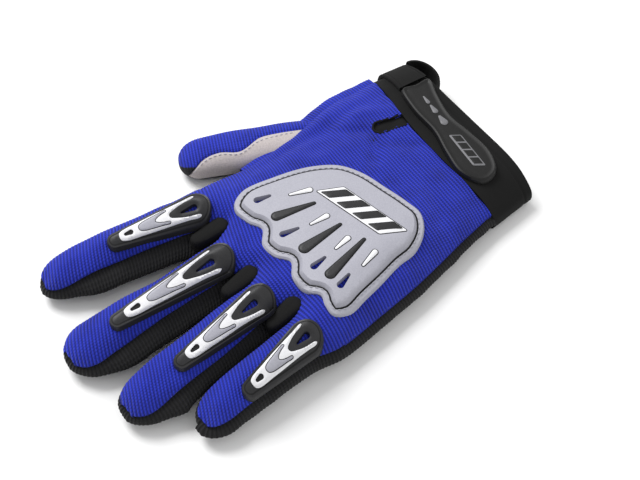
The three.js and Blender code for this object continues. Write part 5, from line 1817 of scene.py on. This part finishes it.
@dataclass
class ClosureTab:
    """The moulded tab over the cuff, with its drops and plain plate."""

    wrist: Wrist
    length: float = 67
    width: float = 21
    thickness: float = 2.2
    y: float = -0.172
    turn: float = 173
    outline_points: tuple[tuple[float, float], ...] = (
        (0.01, -0.36), (0.22, -0.42), (0.45, -0.36), (0.66, -0.46), (0.84, -0.50), (0.97, -0.28),
        (1.00, 0.06), (0.93, 0.36), (0.78, 0.47), (0.58, 0.38), (0.38, 0.26), (0.18, 0.34),
        (0.01, 0.46), (0.00, 0.05),
    )
    drops: tuple[tuple[float, float], ...] = ((0.20, 0.055), (0.30, 0.075), (0.42, 0.100))
    drop_size: float = 0.9
    drop_tail: float = 0.06
    contours: tuple[float, ...] = (0.5, 1.2, 2.2, 3.0)
    ridges: tuple[Ridge, ...] = (Ridge(0.35, 1.2, 0.7), Ridge(-0.35, 2.6, 0.35))
    bars: tuple[float, ...] = (-0.46, -0.22, 0.02, 0.26)
    bar_size: tuple[float, float] = (0.2, 0.36)
    plate_size: tuple[float, float] = (0.32, 0.26)
    plate_place: float = 0.72
    plate_lean: float = 0.04

    def place(self, along: Array, across: Array) -> Array:
        """Plan points at shares along and across the tab."""
        strap_end = PATTERN.strap_end(*(PATTERN.edge_at(side) for side in Side))
        start = strap_end - 2 * SEAM_GAP - self.width * 0.1
        turn = math.radians(self.turn)
        x, y = np.asarray(along) * self.length, np.asarray(across) * self.width
        return np.stack([
            start + x * math.cos(turn) - y * math.sin(turn),
            self.y * PATTERN.hand_length + x * math.sin(turn) + y * math.cos(turn),
        ], axis=-1)

    def base(self, x: Array, y: Array) -> Array:
        """Height of what carries the tab."""
        return self.wrist.height(x, y) + SEAM_GAP

    def top(self, x: Array, y: Array) -> Array:
        """Height of the tab's face."""
        return self.base(x, y) + self.thickness

    def profile(self, depth: Array, x: Array, y: Array) -> Array:
        """Height of the tab: a rounded lip, a groove and a flat field."""
        edge = raised(depth, 1.0, self.thickness, 0.3)
        return edge + sum(ridge.at(depth) for ridge in self.ridges)

    def build(self) -> None:
        """Makes the tab, its drops and its plate."""
        curve = closed_curve(flat(self.outline_points), 150)
        outline = self.place(curve[:, 0], curve[:, 1])
        contours = [inset(outline, depth) for depth in self.contours]
        mould("closure_tab", outline, self.base, self.profile, [TAB_RUBBER], contours=contours,
              spacing=1.5)
        for number, (along, radius) in enumerate(self.drops, 1):
            size = radius * self.width * self.drop_size
            middle, tail = self.place(along, 0), self.place(along - self.drop_tail, 0)
            shape = drop_outline(middle, tail, size, size * 0.4)
            mould(f"tab_drop_{number}", shape, self.top, button(0.5, 0.6), [MARK_RUBBER],
                  spacing=0.6)

        def slab(start: float, stop: float, tall: float) -> Array:
            """A slanted slab of the plate, between two shares of its length."""
            corners = ((start, -tall), (stop, -tall), (stop, tall), (start, tall))
            long, wide = self.plate_size
            return flat(
                self.place(self.plate_place + a * long + b * self.plate_lean, b * wide)
                for a, b in corners
            )

        plate = rounded(slab(-0.5, 0.5, 0.5), 0.9)
        long, tall = self.bar_size
        bars = [rounded(slab(start, start + long, tall), 0.3) for start in self.bars]
        mould("tab_badge", plate, self.top, button(0.5, 0.6), [MARK_RUBBER, TAB_RUBBER],
              spacing=1.2, contours=bars, zones=[(bar, 1) for bar in bars])


def rounded(corners: Array, radius: float, steps: int = 6) -> Array:
    """A polygon with its corners rounded."""
    points = []
    for k, corner in enumerate(corners):
        before, after = corners[k - 1], corners[(k + 1) % len(corners)]
        inwards, onwards = unit(before - corner), unit(after - corner)
        for q in np.linspace(0, 1, steps + 1):
            points.append(corner + radius * (inwards * (1 - q) ** 2 + onwards * q * q))
    return flat(points)


@dataclass(frozen=True)
class GuardDrop:
    """A teardrop or slot of the guard, in shares of its width."""

    kind: str
    front: tuple[float, float]
    rear: tuple[float, float]
    radii: tuple[float, float]


@dataclass
class KnuckleGuard:
    """The moulded guard over the knuckles with its slots, drops and plain slanted bars."""

    width: float = 80
    length: float = 68
    flange: float = 1.2
    plateau: float = 2.8
    border: float = 3.4
    rise: float = 1.3
    groove: Ridge = Ridge(-0.6, -0.3, 0.4)
    seam: float = 1.0
    rings: tuple[float, ...] = (-0.7, 0.1, 0.7, 1.4)
    bar_ends: tuple[float, float] = (0.14, 0.86)
    insert_sink: float = 0.45
    place_x: float = -0.094
    place_y: float = 0.583
    outline_points: tuple[tuple[float, float], ...] = (
        (0.430, 0.500), (0.500, 0.370), (0.475, 0.140), (0.412, -0.120), (0.325, -0.290),
        (0.200, -0.385), (0.040, -0.440), (-0.110, -0.485), (-0.220, -0.500), (-0.325, -0.430),
        (-0.395, -0.290), (-0.415, -0.140), (-0.445, 0.010), (-0.475, 0.190), (-0.500, 0.345),
        (-0.465, 0.445), (-0.395, 0.450), (-0.335, 0.430), (-0.260, 0.490), (-0.150, 0.500),
        (-0.060, 0.440), (0.020, 0.500), (0.120, 0.515), (0.215, 0.445), (0.300, 0.490),
    )
    drops: tuple[GuardDrop, ...] = (
        GuardDrop("white", (0.256, 0.015), (0.294, 0.126), (0.0155, 0.006)),
        GuardDrop("white", (0.051, 0.045), (0.057, 0.149), (0.0155, 0.006)),
        GuardDrop("white", (-0.141, 0.040), (-0.157, 0.133), (0.0155, 0.006)),
        GuardDrop("white", (-0.300, -0.030), (-0.329, 0.074), (0.0145, 0.006)),
        GuardDrop("black", (0.217, 0.275), (0.165, 0.050), (0.027, 0.007)),
        GuardDrop("black", (-0.052, 0.272), (-0.041, 0.018), (0.030, 0.007)),
        GuardDrop("black", (-0.272, 0.255), (-0.200, -0.030), (0.028, 0.007)),
        GuardDrop("slot", (0.376, 0.300), (0.358, 0.225), (0.021, 0.010)),
        GuardDrop("slot", (0.096, 0.315), (0.078, 0.225), (0.021, 0.010)),
        GuardDrop("slot", (-0.178, 0.298), (-0.168, 0.218), (0.022, 0.010)),
        GuardDrop("slot", (-0.356, 0.250), (-0.332, 0.175), (0.021, 0.010)),
    )
    badge: tuple[float, float] = (-0.030, -0.165)
    badge_turn: float = 14
    badge_size: tuple[float, float, float] = (0.46, 0.125, 0.05)
    bars: int = 4

    def point(self, x: Array, y: Array) -> Array:
        """Plan points at shares of the guard's width and length."""
        return np.stack([
            self.place_x * PATTERN.hand_width + np.asarray(x) * self.width,
            self.place_y * PATTERN.hand_length + np.asarray(y) * self.length,
        ], axis=-1)

    def drop(self, drop: GuardDrop) -> Array:
        """Outline of a drop or slot."""
        scale = self.width / self.length
        front = self.point(drop.front[0], drop.front[1] * scale)
        rear = self.point(drop.rear[0], drop.rear[1] * scale)
        return drop_outline(front, rear, drop.radii[0] * self.width, drop.radii[1] * self.width)

    def bar(self, start: float, stop: float, grow: float) -> Array:
        """Outline of a part of the slanted badge, between two shares of its length."""
        turn = math.radians(self.badge_turn)
        centre = self.point(*self.badge)
        length, height, lean = self.badge_size
        points = []
        for along, up in ((start, -0.5), (stop, -0.5), (stop, 0.5), (start, 0.5)):
            outward = math.copysign(1, along - (start + stop) / 2)
            x = (along * length + up * 2 * lean) * self.width + outward * grow
            y = up * (height * self.width + 2 * grow)
            points.append((
                centre[0] + x * math.cos(turn) - y * math.sin(turn),
                centre[1] + x * math.sin(turn) + y * math.cos(turn),
            ))
        return flat(points)

    @staticmethod
    def base(x: Array, y: Array) -> Array:
        """Height of what carries the guard."""
        return PATTERN.back_height(x, y) + SEAM_GAP

    def top(self, x: Array, y: Array) -> Array:
        """Height of the guard's plateau."""
        return self.base(x, y) + self.plateau

    def profile(self, depth: Array, x: Array, y: Array) -> Array:
        """Height of the guard: a thin flange, a sewn groove and a smooth plateau."""
        rise = (self.plateau - self.flange) * smooth((depth - self.border) / self.rise)
        return raised(depth, 0.7, self.flange) + rise + self.groove.at(depth - self.border)

    def build(self) -> None:
        """Makes the guard and its inserts."""
        scaled = closed_curve(flat(self.outline_points) * (self.width, self.length), 260)
        outline = self.point(scaled[:, 0] / self.width, scaled[:, 1] / self.length)
        holes = [self.drop(drop) for drop in self.drops if drop.kind == "slot"]
        inserts = [self.drop(drop) for drop in self.drops if drop.kind != "slot"]
        inserts.append(rounded(self.bar(-0.5, 0.5, 0), 0.8))
        depths = (0.7, *(self.border + beyond for beyond in self.rings))
        rings = [inset(outline, depth) for depth in depths]
        frames = [inset(shape, -self.insert_sink) for shape in inserts]
        # The sewn groove band and the rims round the inserts get painted shade.
        zones = [(rings[1], 1), (rings[2], 0)] + [(frame, 1) for frame in frames]

        def stitches(skin: Skin) -> None:
            """Sews the guard down along its groove."""
            ring = on_back(inset(outline, self.border - self.seam), SEAM_GAP + self.flange)
            Thread(1.6, 1.0, 0.2).onto(skin, ring, 2)

        mould("knuckle_guard", outline, self.base, self.profile,
              [GREY_RUBBER, PAINTED_GROOVE_SHADE, PALE_THREAD], decorate=stitches, contours=rings + frames,
              holes=holes, zones=zones, spacing=1.7)
        counts = {"white": 0, "black": 0}
        for drop in self.drops:
            if drop.kind == "slot":
                continue
            counts[drop.kind] += 1
            finish = WHITE_RUBBER if drop.kind == "white" else BLACK_RUBBER
            piece = f"guard_{drop.kind}_drop_{counts[drop.kind]}"
            mould(piece, self.drop(drop), self.top, button(0.7, 0.6), [finish], spacing=0.7)
        mould("guard_badge", inserts[-1], self.top, button(0.5, 0.5), [WHITE_RUBBER], spacing=1.5)
        for number in range(self.bars):
            start, stop = (-0.5 + (number + end) / self.bars for end in self.bar_ends)
            mould(f"guard_bar_{number + 1}", rounded(self.bar(start, stop, -0.6), 0.7),
                  lambda x, y: self.top(x, y) + 0.5, button(0.4, 0.55), [BLACK_RUBBER],
                  spacing=1.2)


@dataclass(frozen=True)
class Armour:
    """A finger's armour: where its butt and point lie, in shares of the hand's width and length."""

    name: str
    butt: tuple[float, float]
    point: tuple[float, float]
    behind: float
    width: float = 15.4
    thickness: float = 2.6
    slot_ends: tuple[float, float] = (0.145, 0.27)
    eye_ends: tuple[float, float] = (0.765, 0.815)
    point_share: float = 0.24
    rings: tuple[float, ...] = (0.45, 1.2, 1.75)
    ridges: tuple[Ridge, ...] = (Ridge(0.2, 0.7, 0.4), Ridge(-0.45, 1.45, 0.35))
    hollow: tuple[float, float] = (1.6, 0.9)
    fork_thickness: float = 0.75
    fork_points: tuple[tuple[float, float], ...] = (
        (0.870, 0.09), (0.84, 0.145), (0.66, 0.200), (0.50, 0.240), (0.36, 0.268), (0.24, 0.298),
        (0.125, 0.335), (0.108, 0.305), (0.125, 0.270), (0.22, 0.225), (0.31, 0.155), (0.385, 0.05),
    )
    inlay_points: tuple[tuple[float, float], ...] = (
        (0.680, 0.05), (0.650, 0.105), (0.57, 0.145), (0.48, 0.175), (0.405, 0.200), (0.398, 0.172),
        (0.46, 0.125), (0.505, 0.075), (0.525, 0.025),
    )

    def frame(self) -> tuple[Array, Array, float]:
        """The butt, the direction to the point and the length."""
        size = np.array((PATTERN.hand_width, PATTERN.hand_length))
        butt, point = flat([self.butt])[0] * size, flat([self.point])[0] * size
        length = float(np.linalg.norm(point - butt))
        return butt, (point - butt) / length, length

    def place(self, along: float, across: float) -> Array:
        """The plan point at a distance along and across the pad."""
        butt, run, _ = self.frame()
        return butt + run * along + np.array((run[1], -run[0])) * across

    def outline(self) -> Array:
        """The pad's outline."""
        length = self.frame()[2]
        big, small = self.width * 0.5, self.width * self.point_share
        rear, front = self.place(big - self.behind, 0), self.place(length - small, 0)
        return drop_outline(rear, front, big, small, 70)

    def mirrored(self, side: tuple[tuple[float, float], ...], count: int) -> Array:
        """A smooth outline that is the same on both sides of the pad's axis.

        Args:
            side: points of one side, as shares of the pad's length and width.
            count: how many points the outline gets.

        Returns:
            The outline's plan points.
        """
        length = self.frame()[2]
        half = [(a * length, b * self.width) for a, b in side]
        both = half + [(a, -b) for a, b in reversed(half)]
        return closed_curve(flat(self.place(a, b) for a, b in both), count)

    @staticmethod
    def base(x: Array, y: Array) -> Array:
        """Height of what carries the pad."""
        return PATTERN.back_height(x, y) + SEAM_GAP

    def top(self, x: Array, y: Array) -> Array:
        """Height of the pad's face."""
        return self.base(x, y) + self.thickness

    def profile(self, depth: Array, x: Array, y: Array) -> Array:
        """Height of the pad: a rounded wall, a raised lip, a groove and the field."""
        wall = raised(depth, 0.9, self.thickness)
        return wall + sum(ridge.at(depth) for ridge in self.ridges)

    def build(self) -> None:
        """Makes the pad, its fork and its inlay."""
        length = self.frame()[2]
        outline = self.outline()
        fork = self.mirrored(self.fork_points, 150)
        inlay = self.mirrored(self.inlay_points, 110)
        slot = drop_outline(*(self.place(length * end, 0) for end in self.slot_ends), 1.5, 0.5)
        eye = drop_outline(*(self.place(length * end, 0) for end in self.eye_ends), 1.15, 0.75)
        rings = [inset(outline, depth) for depth in self.rings]
        line = inset(inlay, -0.35)

        def profile(depth: Array, x: Array, y: Array) -> Array:
            """The pad's height, hollowed round its slot."""
            reach, deep = self.hollow
            hollow = smooth((depth_in(x, y, slot) + reach) / reach)
            return self.profile(depth, x, y) - deep * hollow

        def fork_profile(depth: Array, x: Array, y: Array) -> Array:
            """The fork's height, sunk at its eye."""
            sunk = smooth((depth_in(x, y, eye) + 0.2) / 0.4)
            return raised(depth, 0.5, self.fork_thickness) - 0.5 * sunk

        # The armour's groove ring, the line round the inlay and the fork's eye get painted shade.
        mould(f"{self.name}_armour", outline, self.base, profile, [BLACK_RUBBER, PAINTED_GROOVE_SHADE],
              contours=rings, holes=[slot], zones=[(rings[1], 1), (rings[2], 0)], spacing=1.1)
        mould(f"{self.name}_fork", fork, self.top, fork_profile, [WHITE_RUBBER, PAINTED_GROOVE_SHADE],
              contours=[line, eye], zones=[(line, 1), (eye, 1)], spacing=0.8)
        mould(f"{self.name}_inlay", inlay, lambda x, y: self.top(x, y) + 0.7, button(0.4, 0.35),
              [GREY_RUBBER], spacing=0.6, sink=0.5)


ARMOURS = (
    Armour("index", (0.324, 0.967), (0.405, 1.420), 0.8),
    Armour("middle", (0.057, 1.040), (0.056, 1.602), 2.4),
    Armour("ring", (-0.204, 1.018), (-0.258, 1.490), 2.6),
    Armour("little", (-0.450, 0.947), (-0.512, 1.337), 1.0),
)


@dataclass(frozen=True)
class Lamp:
    """A soft square lamp that faces the glove: its place and size in metres, its power in watts."""

    name: str
    place: tuple[float, float, float]
    size: float
    power: float


@dataclass
class Studio:
    """The camera, the lights and the floor, in metres."""

    focal_length: float = 59.06
    sensor_width: float = 36
    clip_start: float = 0.01
    target: tuple[float, float, float] = (-0.0099, -0.0130, 0)
    eye: tuple[float, float, float] = (-0.2262, 0.1643, 0.4145)
    lamps: tuple[Lamp, ...] = (
        Lamp("key", (0.75, 0.12, 0.95), 0.6, 14),
        Lamp("fill", (-0.7, -0.6, 0.9), 1.2, 3),
    )
    sky: float = 0.62
    floor_reach: float = 3.0
    floor_white: float = 0.9
    floor_roughness: float = 0.9

    @staticmethod
    def place(name: str, data: bpy.types.ID, location: Vector, looks: Vector) -> bpy.types.Object:
        """Puts a camera or a lamp at a place, looking along a direction."""
        obj = bpy.data.objects.new(name, data)
        obj.location = location
        obj.rotation_euler = looks.to_track_quat("-Z", "Y").to_euler()
        bpy.context.scene.collection.objects.link(obj)
        return obj

    def camera(self) -> None:
        """Sets the camera where the photo was taken from."""
        data = bpy.data.cameras.new("camera")
        data.lens = self.focal_length
        data.sensor_width = self.sensor_width
        data.clip_start = self.clip_start
        eye = Vector(self.eye)
        bpy.context.scene.camera = self.place("camera", data, Vector(self.target) + eye, -eye)

    def lights(self) -> None:
        """Adds the lamps and an even white sky."""
        for lamp in self.lamps:
            data = bpy.data.lights.new(lamp.name, "AREA")
            data.size = lamp.size
            data.energy = lamp.power
            self.place(lamp.name, data, Vector(lamp.place), -Vector(lamp.place))
        world = bpy.data.worlds.new("world")
        world.use_nodes = True
        background = world.node_tree.nodes["Background"]
        background.inputs[0].default_value = (1, 1, 1, 1)
        background.inputs[1].default_value = self.sky
        bpy.context.scene.world = world

    def floor(self) -> None:
        """Lays the white floor."""
        reach = self.floor_reach
        mesh = bpy.data.meshes.new("floor")
        corners = [(-reach, -reach, 0), (reach, -reach, 0), (reach, reach, 0), (-reach, reach, 0)]
        mesh.from_pydata(corners, [], [(0, 1, 2, 3)])
        floor = bpy.data.objects.new("floor", mesh)
        material = bpy.data.materials.new("floor")
        material.use_nodes = True
        shader = material.node_tree.nodes["Principled BSDF"]
        shader.inputs["Base Color"].default_value = (*(self.floor_white,) * 3, 1)
        shader.inputs["Roughness"].default_value = self.floor_roughness
        mesh.materials.append(material)
        bpy.context.scene.collection.objects.link(floor)

    def build(self) -> None:
        """Sets up the whole studio."""
        self.camera()
        self.lights()
        bpy.context.scene.view_settings.view_transform = "Standard"
        self.floor()


def main() -> None:
    """Dresses the frame piece by piece."""
    logging.basicConfig(level=logging.INFO, format="%(name)s %(message)s")
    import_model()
    PLACE.settle()
    Studio().build()
    back = BackPanel()
    back.build()
    PalmPanel(back).build()
    side_walls()
    Thumb().build()
    wrist = Wrist()
    wrist.build()
    ClosureTab(wrist).build()
    KnuckleGuard().build()
    for armour in ARMOURS:
        armour.build()


if __name__ == "__main__":
    main()
